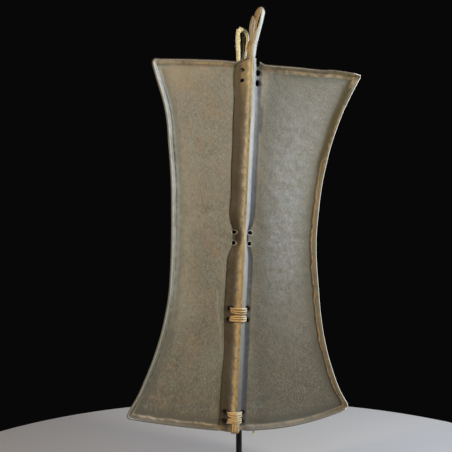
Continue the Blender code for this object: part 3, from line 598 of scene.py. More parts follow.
def make_rawhide():
    """Scraped and air-dried hide: matt, grey-brown, blotched where fat and smoke stayed, with fine pores and
    upright scraping. Folds and cut edges are rubbed pale, painted highlights lie on the crest, the lips and
    the right cut edge, and painted shade, over some dirt, lies beside the ridge and in the rims' creases."""
    material, tree = empty_material("air_dried_rawhide")
    object_place = add_node(tree, "ShaderNodeTexCoord", out=3)
    upright = add_node(tree, "ShaderNodeMapping", {"Vector": object_place, "Rotation": (0, LEAN, 0)})
    lengthwise, drawn_out, speckled = [
        add_node(tree, "ShaderNodeMapping", {
            "Vector": upright, "Rotation": (0, turn, 0), "Scale": (1, 1, share),
        })
        for turn, share in ((0, 0.40), (0, 0.08), (0.5, 0.7))
    ]
    # Each pattern's way, the size of its patches in mm, and its detail. Real pores and fibres are a few
    # tenths of a millimetre, too fine to show, so the grain and the pores are drawn at about 1.5 mm.
    pore_mm = 1.5
    blotches, patches, mottle, warm_stains, cool_stains, fine_stains, speckle, brushing, streaks, grain = [
        add_node(tree, "ShaderNodeTexNoise", {"Vector": place, "Scale": PER_MM / size_mm, "Detail": detail})
        for place, size_mm, detail in (
            (upright, 120, 3), (upright, 42, 5), (upright, 13, 4), (speckled, 27, 5), (speckled, 34, 5),
            (speckled, 8, 4), (speckled, 4.2, 4), (lengthwise, 3.2, 4), (drawn_out, 2.4, 3),
            (upright, 1.6, 3),
        )
    ]
    pores = add_node(tree, "ShaderNodeTexVoronoi", {"Vector": upright, "Scale": PER_MM / pore_mm})
    # What make_hide marked: how far in from the rim's lip, across the ridge, up and across the shield a
    # point is, how far through the wall, how far from a hole, and whether a scuff, or the painted shadow of a
    # crease or a wrinkle, runs through it.
    fold, ridge, up, across, skin_side, opening, crease_shadow, wrinkle_shadow, scuff = [
        add_node(tree, "ShaderNodeAttribute", out=2, attribute_name=name)
        for name in ("fold", "ridge", "up", "across", "skin_side", "opening", "crease_shadow", "wrinkle_shadow", "scuff")
    ]
    from_crest = add_node(tree, "ShaderNodeMath", {0: ridge}, operation="ABSOLUTE")
    # The bands along the ridge wander with the mottling, and those along the rim with the patches.
    band, rim = [
        add_node(tree, "ShaderNodeMath", {0: place, 1: add_node(tree, "ShaderNodeMapRange", {
            "Value": pattern, "From Min": 0.5 - half, "From Max": 0.5 + half,
            "To Min": -reach, "To Max": reach,
        })}, operation="ADD")
        for place, pattern, half, reach in ((ridge, mottle, 0.20, 0.06), (fold, patches, 0.12, 0.13))
    ]
    on_panel = ((fold, 1.1, 2.4), (from_crest, 1.0, 1.3))
    on_cut = ((skin_side, 0.05, 0.45), (skin_side, 0.95, 0.55))
    near_top, near_foot = (up, 0.955, 0.975), (up, 0.13, 0.04)
    left_rim, right_rim, right_fold = (across, -0.85, -0.95), (across, 0.8, 0.93), (across, 0.85, 0.95)
    between_corners = ((up, 0.84, 0.73), (up, 0.03, 0.08))
    right_middle = ((across, 0.16, 0.4), (across, 0.97, 0.75), (up, 1.0, 0.8))
    # The crest's right side, rubbed pale and glossier, with a painted cool highlight over it.
    white_wear_and_highlight = mask(
        tree, (ridge, 0.01, 0.06), (band, 0.58, 0.12), (mottle, 0.28, 0.58, 0.55, 1.0),
        (streaks, 0.34, 0.6, 0.65, 1.0), (up, 0.08, 0.66, 0.14, 1.0), (up, 0.96, 0.74, 0.1, 1.0),
    )
    colour = layered(
        tree, "6A6453",
        # Both panels: paler blotches, darker patches, and stains of a few colours.
        ("7C7768", (blotches, 0.38, 0.66)),
        # Paler upward and darker towards the foot.
        ("817B6B", (up, 0.35, 0.62, 0.0, 0.55)),
        ("4B4438", (up, 0.24, 0.03, 0.0, 0.7)),
        ("5A5948", (patches, 0.52, 0.34), (mottle, 0.3, 0.66, 0.0, 0.8)),
        ("86694A", (patches, 0.52, 0.72), (mottle, 0.42, 0.66, 0.0, 0.6), *on_panel),
        ("8E7152", (warm_stains, 0.48, 0.68, 0.0, 0.62), (mottle, 0.3, 0.62),
         (fine_stains, 0.3, 0.6, 0.45, 1.0), *on_panel),
        ("667067", (cool_stains, 0.5, 0.66, 0.0, 0.55), (fine_stains, 0.66, 0.4), *on_panel),
        ("97895A", (fine_stains, 0.6, 0.74, 0.0, 0.5), (warm_stains, 0.5, 0.38), *on_panel),
        ("6C5A50", (fine_stains, 0.4, 0.28, 0.0, 0.45), (cool_stains, 0.45, 0.6), *on_panel),
        # The right panel is darker, and cooler and paler about its middle: a painted sheen of the cool light,
        # with painted highlight flecks and darker flecks on its grain.
        ("50534C", (across, 0.14, 0.24, 0.0, 0.55)),
        ("43453A", (across, 0.14, 0.24, 0.0, 0.66), (up, 0.72, 0.92)),
        ("43413A", (across, 0.14, 0.24, 0.0, 0.35), (up, 0.42, 0.18)),
        ("858C92", (across, 0.18, 0.5), (across, 0.95, 0.6), (up, 0.2, 0.5), (up, 0.98, 0.72),
         (mottle, 0.34, 0.62, 0.15, 0.72)),
        ("A3A9AE", *right_middle, (up, 0.3, 0.52), (speckle, 0.5, 0.66, 0.0, 0.5),
         (fine_stains, 0.32, 0.6, 0.1, 1.0)),
        ("5F6263", *right_middle, (up, 0.14, 0.4), (speckle, 0.47, 0.36, 0.0, 0.45)),
        # The scraping's fine lines, and the skin's grain and speckle.
        ("8E8979", (brushing, 0.42, 0.74, 0.0, 0.25), *on_panel),
        ("9D9381", (grain, 0.5, 0.66, 0.0, 0.46), *on_panel),
        ("4E463B", (grain, 0.5, 0.34, 0.0, 0.46), *on_panel),
        ("4F4A3E", (speckle, 0.5, 0.7, 0.0, 0.38), (fold, 0.8, 2.0), (across, 0.2, -0.1, 0.5, 1.0)),
        ("A39C8A", (speckle, 0.48, 0.3, 0.0, 0.26), (fold, 0.8, 2.0), (across, 0.2, -0.1, 0.3, 1.0)),
        # Painted shade, over some dirt, on the ridge's lower flanks: down the left one and at the right one's
        # foot.
        ("393124", (ridge, -1.04, -0.94), (band, -0.16, -0.56), (mottle, 0.25, 0.7, 0.8, 1.0),
         (up, 0.14, 0.52, 0.62, 1.0)),
        ("2A2317", (ridge, -1.04, -0.94), (band, -0.34, -0.62), (up, 0.58, 0.76),
         (mottle, 0.62, 0.35, 0.2, 0.7)),
        ("2F3136", (ridge, 1.14, 1.0), (ridge, 0.42, 0.66), (mottle, 0.25, 0.7, 0.65, 0.95)),
        # A darker patch beside the right flank's foot, near the top.
        ("474A47", (ridge, 1.46, 1.22), (ridge, 0.8, 1.0), (up, 0.898, 0.872), (up, 0.8, 0.828),
         (speckle, 0.3, 0.6, 0.6, 1.0)),
        # Painted shade down the right flank, above and below the pinch.
        ("363737", (ridge, 1.0, 0.9), (band, 0.15, 0.34), (up, 0.52, 0.6), (up, 0.78, 0.68, 0.0, 0.85)),
        ("46474A", (ridge, 0.8, 0.6), (ridge, 0.02, 0.1), (up, 0.42, 0.22, 0.0, 0.55),
         (mottle, 0.3, 0.6, 0.6, 1.0)),
        # Painted shade in the groove at the crest's left, near the top.
        ("665E43", (band, -0.24, -0.12), (ridge, 0.05, 0.01), (mottle, 0.25, 0.6, 0.35, 0.8),
         (up, 0.66, 0.78, 0.2, 1.0)),
        # A painted warm highlight on the left shoulder, near the top.
        ("8B774C", (up, 0.86, 0.97, 0.0, 0.75), (ridge, -0.66, -0.45), (ridge, 0.05, -0.02)),
        # Painted shade at the left flank's foot, near the top.
        ("3F371F", (up, 0.84, 0.92), (ridge, -1.06, -0.98), (band, -0.56, -0.8),
         (speckle, 0.3, 0.6, 0.6, 1.0)),
        # The crest rubbed pale, with painted highlights over it: golden at its left, in the warm light, and
        # cool and nearly white at its right, in the cool light.
        ("C0B08A", (band, -0.37, -0.12), (band, 0.05, -0.1), (mottle, 0.32, 0.62, 0.6, 1.0),
         (streaks, 0.36, 0.62, 0.7, 1.0)),
        ("B58D52", (band, -0.42, -0.14), (band, 0.05, -0.1), (up, 0.6, 0.36), (up, 0.02, 0.14, 0.3, 1.0),
         (streaks, 0.34, 0.6, 0.3, 0.75)),
        ("7C5A30", (band, -0.52, -0.36), (band, 0.0, -0.12), (speckle, 0.5, 0.66, 0.0, 0.55),
         (up, 0.97, 0.9)),
        ("A1A2A3", (white_wear_and_highlight,)),
        # The painted highlight made greyer near the top.
        ("686A6A", (ridge, 0.02, 0.08), (band, 0.9, 0.6), (up, 0.82, 0.93, 0.0, 0.5),
         (streaks, 0.36, 0.6, 0.4, 1.0)),
        ("9A9484", (scuff, 0.3, 1.0, 0.0, 0.6), (speckle, 0.3, 0.55, 0.2, 1.0)),
        # The left rim, with painted shade along its crease, and painted shade in the crease inside the right
        # one.
        ("4C4231", (fold, 1.75, 1.2), (fold, 0.55, 0.95), (across, 0.3, 0.7), (up, 0.5, 0.7),
         (up, 0.975, 0.94), (mottle, 0.35, 0.65, 0.25, 0.65)),
        ("928A76", (across, -0.5, -0.82), (fold, 0.9, 1.2), (up, 0.22, 0.36), (up, 0.86, 0.7),
         (mottle, 0.3, 0.62, 0.3, 0.7), (fine_stains, 0.62, 0.34, 0.5, 1.0)),
        ("96978E", (fold, 1.4, 0.9), (across, -0.7, -0.92), (up, 0.24, 0.5),
         (mottle, 0.3, 0.62, 0.3, 0.85)),
        ("5C594C", (fold, 0.72, 0.6), left_rim, (streaks, 0.48, 0.62, 0.0, 0.55)),
        ("3F392D", (fold, 0.56, 0.72), (fold, 1.0, 0.84), (across, -0.8, -0.93), (up, 0.3, 0.7),
         (up, 0.985, 0.96), (fine_stains, 0.3, 0.55, 0.45, 0.95)),
        ("3A352B", (fold, 0.54, 0.66), (fold, 0.9, 0.76), (across, -0.85, -0.96), (up, 0.52, 0.4),
         (up, 0.05, 0.1), (fine_stains, 0.42, 0.56, 0.0, 0.8)),
        # The right rim from its crease out: a dark line of painted shade, a golden line of painted warm
        # highlight, and a greyer lip.
        ("3F2F1B", (rim, 0.68, 0.78), (rim, 1.02, 0.9), right_fold, *between_corners,
         (fine_stains, 0.32, 0.6, 0.65, 1.0)),
        ("B09262", (rim, 0.75, 0.66), (rim, 0.48, 0.6), right_fold, *between_corners,
         (fine_stains, 0.34, 0.58, 0.25, 0.95), (mottle, 0.3, 0.56, 0.55, 1.0)),
        ("6B6758", (rim, 0.48, 0.38), (fold, 0.1, 0.18), right_fold, (up, 0.8, 0.68),
         (mottle, 0.3, 0.6, 0.45, 0.85)),
        ("7E6D50", (fold, 0.85, 0.55), (across, -0.8, -0.6), (mottle, 0.35, 0.62, 0.0, 0.55)),
        # The foot's rim, paler at its crease, and darker at its lip, where shade is painted as it turns down.
        ("7D6E57", (fold, 0.8, 0.6), near_foot, (mottle, 0.3, 0.6, 0.1, 0.45)),
        ("9F9176", (rim, 0.84, 0.7), (rim, 0.36, 0.52), near_foot, (from_crest, 1.0, 1.6),
         (across, 0.3, -0.2, 0.0, 1.0), (fine_stains, 0.32, 0.58, 0.15, 0.75)),
        ("554E40", (rim, 0.66, 0.36), near_foot, (from_crest, 0.9, 1.4),
         (fine_stains, 0.66, 0.36, 0.55, 0.95)),
        # The right rim's upper stretch in painted shade, with a lighter line of painted warm highlight, then
        # the lips, the left one with a painted highlight, the top rim and the warmer corner at its left.
        ("4A4224", (fold, 1.7, 1.0), (fold, 0.1, 0.24), right_rim, (up, 0.66, 0.8),
         (mottle, 0.25, 0.6, 0.65, 1.0)),
        ("8C7350", (fold, 0.55, 0.35), (fold, 0.1, 0.25), right_rim, (up, 0.64, 0.78),
         (fine_stains, 0.42, 0.6, 0.0, 0.75)),
        ("A9A396", (fold, 0.22, 0.06), (across, 0.8, 0.4), (up, 0.03, 0.1), (mottle, 0.28, 0.55, 0.1, 0.7)),
        ("ACAC9C", (fold, 0.13, 0.03), left_rim, (mottle, 0.25, 0.6, 0.2, 0.8)),
        ("BEA678", (fold, 0.6, 0.46), (fold, 0.22, 0.34), near_top,
         (patches, 0.34, 0.56, 0.25, 0.85), (speckle, 0.36, 0.56, 0.2, 1.0), (across, 0.25, 0.05),
         (from_crest, 1.0, 1.6)),
        ("B8A589", (fold, 1.15, 0.8), (fold, 0.4, 0.62), near_top,
         (fine_stains, 0.36, 0.6, 0.3, 0.8), (across, 0.05, 0.35), (patches, 0.36, 0.56, 0.25, 1.0)),
        ("A58D62", (up, 0.86, 0.97), (across, -0.3, -0.8), (speckle, 0.36, 0.62, 0.1, 0.4),
         (fold, 0.6, 0.9)),
        ("A5836A", (up, 0.955, 0.98), (across, 0.45, 0.06), (from_crest, 1.05, 1.5),
         (fine_stains, 0.46, 0.66, 0.0, 0.45)),
        # The painted shadow of a wrinkle and painted shade beside the pinch, pale rings round the pinch's
        # holes, and painted shadows along the creases at the cuts.
        ("242126", (wrinkle_shadow, 0.2, 0.9, 0.0, 0.85), (speckle, 0.3, 0.52, 0.5, 1.0)),
        ("2C2B2E", (ridge, 0.44, 0.74), (ridge, 1.12, 1.0), (up, 0.45, 0.49), (up, 0.58, 0.55),
         (speckle, 0.3, 0.52, 0.6, 0.9)),
        # Pale rings round the pinch's holes: partly the cut's own pale edge, partly a painted highlight on
        # their walls.
        ("B7B8B0", (opening, 1.2, 0.5, 0.0, 0.8), (up, 0.64, 0.56), (up, 0.42, 0.48)),
        ("2E2519", (crease_shadow, 0.2, 0.8, 0.0, 0.85)),
        # The back is the flesh side, the cut edges show the raw middle, the right one painted nearly white as
        # a highlight, and painted shade lies round the lower holes.
        ("8D7F68", (skin_side, 0.62, 0.98, 0.0, 0.8)),
        ("77726A", *on_cut),
        ("73766D", *on_cut, (across, -0.8, -0.95)),
        ("4A3D31", *on_cut, (up, 0.93, 0.98)),
        # Painted shade round the lower holes, beside the lashings.
        ("241B13", (opening, 2.4, 0.4, 0.0, 0.85), (up, 0.48, 0.42)),
        # A painted highlight: the right cut edge nearly white.
        ("D6D2C8", *on_cut, (across, 0.945, 0.985)),
    )
    roughness = mask(tree, (grain, 0.3, 0.7, 0.50, 0.66), (white_wear_and_highlight, 0.0, 1.0, 1.0, 0.75))
    bumps = (
        (warm_stains, 0.60), (mottle, 0.60), (fine_stains, 0.20), (speckle, 0.16), (brushing, 0.06),
        (grain, 0.10), (pores, 0.04),
    )
    return shade(material, tree, colour, roughness, bumps)


RAWHIDE = make_rawhide()
hide.data.materials.append(RAWHIDE)
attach(hide, "root")
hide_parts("hide")

# Stave: one peeled and split stick, round in section. It runs up inside the ridge, bows back behind the
# pinch and the grip, and ends above the hide in a bent tip with a drying split and a leaf of torn wood
# before it.
STAVE_FOOT = 0.014
STAVE_RISE = 0.118
STAVE_BEND = 0.0158
STAVE_AXIS_Y = STAVE_RADIUS + STAVE_FIT + HIDE_THICKNESS / 2 - RIDGE_RISE
GRIP_MIDDLE = 0.4207 * HIDE_HEIGHT
GRIP_HALF_LENGTH = 0.090
GRIP_BOW = 0.043
PINCH_BOW_HALF_LENGTH = 0.080
PINCH_BOW = 0.0165
TIE_GROOVE_DROP = 0.025
TIE_GROOVE_DEPTH = 0.0026
TIE_GROOVE_REACH = 0.0042
SPLIT_LEAN = math.radians(11)
SPLIT_HALF_LENGTH = 0.0175
SPLIT_HALF_WIDTH = 0.0016
SPLIT_DEPTH = 0.0062
STAVE_SIDES = 96
LEAF_SIDES = 36


def bow(t):
    """How far the stave's axis stands back from its straight line, behind the grip and the pinch."""
    total = 0.0
    for middle, half_length, depth in (
        (GRIP_MIDDLE, GRIP_HALF_LENGTH, GRIP_BOW), (PINCH_HEIGHT, PINCH_BOW_HALF_LENGTH, PINCH_BOW),
    ):
        along = (t - middle) / half_length
        if abs(along) < 1:
            total += depth * math.cos(along * math.pi / 2) ** 2
    return total


def smooth_path(knots, steps):
    """Points read along a smooth curve through the knots, steps to each stretch."""
    knots = [np.array(knot, float) for knot in knots]
    padded = [2 * knots[0] - knots[1], *knots, 2 * knots[-1] - knots[-2]]
    points = []
    for a, b, c, d in zip(padded, padded[1:], padded[2:], padded[3:]):
        for k in range(steps):
            u = k / steps
            bend = (2 * a - 5 * b + 4 * c - d) * u**2 + (3 * b - a - 3 * c + d) * u**3
            points.append(0.5 * (2 * b + (c - a) * u + bend))
    return np.array(points + [knots[-1]])


def full_turn(count):
    """Angles evenly spaced round a full turn."""
    return np.arange(count) / count * math.tau


def tube(path, radii, squash=1.0):
    """Rings of points round a path that runs in the s-t or y-t plane; radii has a row for each ring."""
    tangent = unit(np.gradient(path, axis=0))
    rightward = unit(np.cross(np.array((0.0, 1.0, 0.0)), tangent))
    forward = np.cross(tangent, rightward)
    angle = full_turn(radii.shape[1])[None, :, None]
    ring = rightward[:, None] * np.sin(angle) - forward[:, None] * np.cos(angle) * squash
    return path[:, None] + ring * radii[..., None]


def closed_ends(rings):
    """A tube's points in one list, with the middles of its two ends added for tube_faces."""
    ends = np.stack((rings[0].mean(axis=0), rings[-1].mean(axis=0)))
    return np.concatenate((rings.reshape(-1, 3), ends))


def tube_faces(rings, sides, first=0):
    """Side faces of a tube and a fan at each end, for points as closed_ends lists them."""
    number = first + np.arange(rings * sides).reshape(rings, sides)
    after = np.roll(number, -1, axis=1)
    faces = np.stack((number[:-1], after[:-1], after[1:], number[1:]), axis=-1).reshape(-1, 4).tolist()
    foot_middle, top_middle = first + rings * sides, first + rings * sides + 1
    faces += [(foot_middle, b, a) for a, b in zip(number[0].tolist(), after[0].tolist())]
    faces += [(top_middle, a, b) for a, b in zip(number[-1].tolist(), after[-1].tolist())]
    return faces


def cut_split(points):
    """Cuts the drying split into the tip's face, a lens-shaped trench, and returns where it runs."""
    split_middle = np.array((STAVE_BEND * 0.61, HIDE_HEIGHT + STAVE_RISE * 0.72))
    off = points[..., (0, 2)] - split_middle
    along = off[..., 0] * math.sin(SPLIT_LEAN) + off[..., 1] * math.cos(SPLIT_LEAN)
    beside = off[..., 0] * math.cos(SPLIT_LEAN) - off[..., 1] * math.sin(SPLIT_LEAN)
    lens = SPLIT_HALF_WIDTH * np.clip(1 - (along / SPLIT_HALF_LENGTH) ** 2, 0, None) ** 0.7
    facing = points[..., 1] < STAVE_AXIS_Y - 0.002
    trench = facing * np.clip(1 - np.abs(beside) / np.maximum(lens, 1e-6), 0, 1) ** 0.6 * (lens > 1e-4)
    points[..., 1] += trench * SPLIT_DEPTH
    return smooth_step(0.0, 0.35, trench)


def torn_leaf():
    """Rings of the leaf of torn wood before the tip, from shares of its bend, rise and radius."""
    knots = ((0.030, 0.300, 0.40), (0.0, 0.347, 0.74), (-0.114, 0.492, 0.74), (-0.089, 0.602, 0.88),
             (-0.025, 0.716, 0.84), (-0.127, 0.771, 0.45), (-0.177, 0.812, 0.10))
    across, up, share = smooth_path(knots, 8).T
    middle_y = STAVE_AXIS_Y - STAVE_RADIUS * 0.62 - 0.0006 * np.sin(up * 9)
    angle = full_turn(LEAF_SIDES)
    radii = share[:, None] * STAVE_RADIUS * (1 + 0.10 * np.sin(angle * 5) + 0.07 * np.sin(angle * 9 + 1))
    path = np.stack((STAVE_BEND * across, middle_y, HIDE_HEIGHT + STAVE_RISE * up), axis=1)
    return tube(path, radii, squash=0.52)


def make_stave():
    """The shaft with its tie groove and split tip, and the torn leaf: two closed shells in one mesh."""
    # The tip's line: how far over and up it is, as shares of the bend and the rise, and how thick.
    tip = ((0.0, 0.093, 1.0), (0.0, 0.153, 1.12), (0.057, 0.288, 1.21), (0.342, 0.441, 1.06),
           (0.570, 0.589, 1.04), (0.709, 0.737, 1.24), (0.797, 0.814, 1.28), (0.949, 0.898, 1.24),
           (0.988, 0.940, 1.06), (1.0, 0.970, 0.78), (1.0, 0.992, 0.42), (1.0, 0.998, 0.12))
    tip_line = smooth_path(tip, 10)
    shaft = spread(STAVE_FOOT, HIDE_HEIGHT + STAVE_RISE * tip[0][1], 0.0032)
    path = np.array([(0.0, STAVE_AXIS_Y + bow(t), t) for t in shaft] + [
        (STAVE_BEND * across, STAVE_AXIS_Y, HIDE_HEIGHT + STAVE_RISE * up) for across, up, _ in tip_line
    ])
    height = path[:, 2]
    shares = np.array([1.0] * len(shaft) + [share for *_, share in tip_line])
    tie_groove = hump(height, HIDE_HEIGHT - TIE_GROOVE_DROP, TIE_GROOVE_REACH) ** 2 * TIE_GROOVE_DEPTH
    foot_round = np.clip(1 - (height - STAVE_FOOT) / 0.004, 0, 1) ** 2 * 0.0012
    length = np.concatenate(((0,), np.cumsum(np.linalg.norm(np.diff(path, axis=0), axis=1))))
    angle = full_turn(STAVE_SIDES)
    x, y = STAVE_RADIUS * np.cos(angle), STAVE_RADIUS * np.sin(angle)
    on_tip = smooth_step(HIDE_HEIGHT + 0.010, HIDE_HEIGHT + 0.045, height)[:, None]
    fibres = noise_at(x * 520, y * 520, length[:, None] * 26) * lerp(0.00012, 0.00055, on_tip)
    facets = noise_at(x * 150, y * 150, length[:, None] * 14 + 40) * lerp(0.00010, 0.00100, on_tip)
    points = tube(path, (STAVE_RADIUS * shares - tie_groove - foot_round)[:, None] + fibres + facets)
    split = cut_split(points)
    leaf = torn_leaf()

    shaft_shell, leaf_shell = closed_ends(points), closed_ends(leaf)
    places = np.concatenate((shaft_shell, leaf_shell))
    faces = tube_faces(len(path), STAVE_SIDES) + tube_faces(len(leaf), LEAF_SIDES, first=len(shaft_shell))
    mesh = bpy.data.meshes.new("stave_wood")
    mesh.from_pydata(on_shield(*places.T).tolist(), [], faces)
    straight = np.stack(np.broadcast_arrays(x, y, length[:, None]), axis=-1).reshape(-1, 3)
    straight = np.concatenate((straight, ((0, 0, 0), (0, 0, length[-1])), leaf_shell)).astype(np.float32)
    mesh.attributes.new("grain_place", "FLOAT_VECTOR", "POINT").data.foreach_set("vector", straight.ravel())
    out_of_hide = np.repeat(smooth_step(HIDE_HEIGHT - 0.006, HIDE_HEIGHT + 0.012, height), STAVE_SIDES)
    # Down the right side above the hide goes a painted highlight of the cool light.
    right_side = np.tile(smooth_step(-0.50, -0.20, np.sin(angle)), len(path))
    on_leaf = np.ones(len(leaf_shell))
    mark_points(mesh, {
        "split": np.concatenate((split.ravel(), (0, 0), 0 * on_leaf)),
        "weathered": np.concatenate((out_of_hide, (0, 1), on_leaf)),
        "torn": np.concatenate((np.zeros(len(shaft_shell)), on_leaf)),
        "pale_mark": np.concatenate((right_side, (0, 0), 0 * on_leaf)),
    })
    mesh.shade_smooth()
    return mesh


def make_wood():
    """Peeled, dried wood: tan with darker streaks along the grain, painted nearly white down its right side
    above the hide as a highlight of the cool light, grey-brown where it is torn, and painted nearly black
    with shade deep in the drying split."""
    material, tree = empty_material("dry_peeled_wood")
    place = add_node(tree, "ShaderNodeAttribute", out=1, attribute_name="grain_place")
    along_grain = add_node(tree, "ShaderNodeMapping", {"Vector": place, "Scale": (1, 1, 0.05)})
    # Real wood fibres are far thinner than 0.6 mm, the finest that shows.
    streaks, fibres, stains = [
        add_node(tree, "ShaderNodeTexNoise", {"Vector": vector, "Scale": PER_MM / size_mm, "Detail": detail})
        for vector, size_mm, detail in ((along_grain, 2.2, 5), (along_grain, 0.6, 2), (place, 16, 4))
    ]
    weathered, torn, split, pale_mark = [
        add_node(tree, "ShaderNodeAttribute", out=2, attribute_name=name)
        for name in ("weathered", "torn", "split", "pale_mark")
    ]
    colour = layered(
        tree, "94794E",
        ("B29B70", (streaks, 0.35, 0.7)),
        ("7F633C", (stains, 0.5, 0.72)),
        # Painted highlight down the right side above the hide.
        ("9FA097", (weathered, 0.0, 1.0), (pale_mark, 0.0, 1.0), (stains, 0.72, 0.45, 0.6, 0.92)),
        ("6F7166", (weathered, 0.0, 1.0), (pale_mark, 0.0, 1.0), (streaks, 0.5, 0.68, 0.0, 0.6)),
        ("857660", (torn, 0.0, 1.0, 0.0, 0.75)),
        ("6F5A3C", (fibres, 0.58, 0.8, 0.0, 0.5)),
        # Painted shade deep in the split.
        ("1B140D", (split,)),
    )
    roughness = mask(tree, (streaks, 0.3, 0.7, 0.48, 0.64))
    return shade(material, tree, colour, roughness, ((streaks, 0.35), (fibres, 0.12)))


stave = add_object("stave_wood", make_stave())
stave.data.materials.append(make_wood())
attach(stave, "root")
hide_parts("stave")

# Lashings: thongs of the same raw hide, each cut as a strip, twisted a little and pulled tight while wet.
# Those of one station run over the ridge, through its two pairs of holes, and round the back of the stave.
THONG_RADIUS = 0.0020
THONG_GAP = 0.0004


def thong_tree():
    """Geometry nodes that turn curves into thongs: squashed and uneven tubes with wrinkles."""
    tree = bpy.data.node_groups.new("thong_strand", "GeometryNodeTree")
    sockets = (
        ("Strands", "NodeSocketGeometry", None), ("Radius", "NodeSocketFloat", THONG_RADIUS),
        ("Squash", "NodeSocketFloat", 0.8), ("Unevenness", "NodeSocketFloat", 0.00025),
        ("Seed", "NodeSocketFloat", 1.0), ("Finish", "NodeSocketMaterial", None),
    )
    for name, kind, value in sockets:
        socket = tree.interface.new_socket(name, in_out="INPUT", socket_type=kind)
        if value is not None:
            socket.default_value = value
    tree.interface.new_socket("Thongs", in_out="OUTPUT", socket_type="NodeSocketGeometry")
    given = tree.nodes.new("NodeGroupInput").outputs
    step_length = 0.0009
    ring_sides = 14
    wrinkle_size = 0.0016

    line = add_node(tree, "GeometryNodeResampleCurve", {
        "Curve": given["Strands"], "Length": step_length,
    }, mode="LENGTH")
    length = add_node(tree, "GeometryNodeSplineParameter", out=1)
    line = add_node(tree, "GeometryNodeStoreNamedAttribute", {
        "Geometry": line, "Name": "along", "Value": length,
    }, data_type="FLOAT", domain="POINT")
    ring = add_node(tree, "GeometryNodeCurvePrimitiveCircle", {
        "Resolution": ring_sides, "Radius": given["Radius"],
    })
    squash = add_node(tree, "ShaderNodeCombineXYZ", {"X": given["Squash"], "Y": 1.0, "Z": 1.0})
    ring = add_node(tree, "GeometryNodeTransform", {"Geometry": ring, "Scale": squash})
    turn = add_node(tree, "GeometryNodeSplineParameter", out=0)
    ring = add_node(tree, "GeometryNodeStoreNamedAttribute", {
        "Geometry": ring, "Name": "around", "Value": turn,
    }, data_type="FLOAT", domain="POINT")
    thickness = add_node(tree, "GeometryNodeInputRadius")
    strip = add_node(tree, "GeometryNodeCurveToMesh", {
        "Curve": line, "Profile Curve": ring, "Scale": thickness, "Fill Caps": True,
    })
    place = add_node(tree, "GeometryNodeInputPosition")
    wrinkles = add_node(tree, "ShaderNodeTexNoise", {
        "Vector": place, "W": given["Seed"], "Scale": 1 / wrinkle_size / 3, "Detail": 3.0,
    }, noise_dimensions="4D")
    height = add_node(tree, "ShaderNodeMapRange", {
        "Value": wrinkles, "From Min": 0.3, "From Max": 0.7, "To Min": -1.0, "To Max": 1.0,
    })
    height = add_node(tree, "ShaderNodeMath", {0: height, 1: given["Unevenness"]}, operation="MULTIPLY")
    outward = add_node(tree, "GeometryNodeInputNormal")
    offset = add_node(tree, "ShaderNodeVectorMath", {0: outward, "Scale": height}, operation="SCALE")
    strip = add_node(tree, "GeometryNodeSetPosition", {"Geometry": strip, "Offset": offset})
    strip = add_node(tree, "GeometryNodeSetShadeSmooth", {"Geometry": strip, "Shade Smooth": True})
    strip = add_node(tree, "GeometryNodeRealizeInstances", {"Geometry": strip})
    strip = add_node(tree, "GeometryNodeSetMaterial", {"Geometry": strip, "Material": given["Finish"]})
    tree.links.new(strip, tree.nodes.new("NodeGroupOutput").inputs["Thongs"])
    return tree


THONG_TREE = thong_tree()


def make_thongs(name, strands, finish, seed, squash=0.8, unevenness=0.00022):
    """One mesh from several strands, each given as its places in the shield's frame, their shares of the
    thongs' thickness, and whether it is closed."""
    curves = bpy.data.curves.new(name, "CURVE")
    curves.dimensions = "3D"
    for places, shares, closed in strands:
        spline = curves.splines.new("POLY")
        spline.points.add(len(places) - 1)
        spline.use_cyclic_u = closed
        for knot, place, share in zip(spline.points, on_shield(*np.array(places).T).tolist(), shares):
            knot.co = (*place, 1)
            knot.radius = share
    holder = add_object(name + "_lines", curves)
    grow = holder.modifiers.new("thong_strand", "NODES")
    grow.node_group = THONG_TREE
    settings = {"Squash": squash, "Unevenness": unevenness, "Seed": float(seed), "Finish": finish}
    for socket in THONG_TREE.interface.items_tree:
        if socket.in_out == "INPUT" and socket.name in settings:
            grow[socket.identifier] = settings[socket.name]
    graph = bpy.context.evaluated_depsgraph_get()
    mesh = bpy.data.meshes.new_from_object(holder.evaluated_get(graph))
    bpy.data.objects.remove(holder)
    bpy.data.curves.remove(curves)
    return add_object(name, mesh)


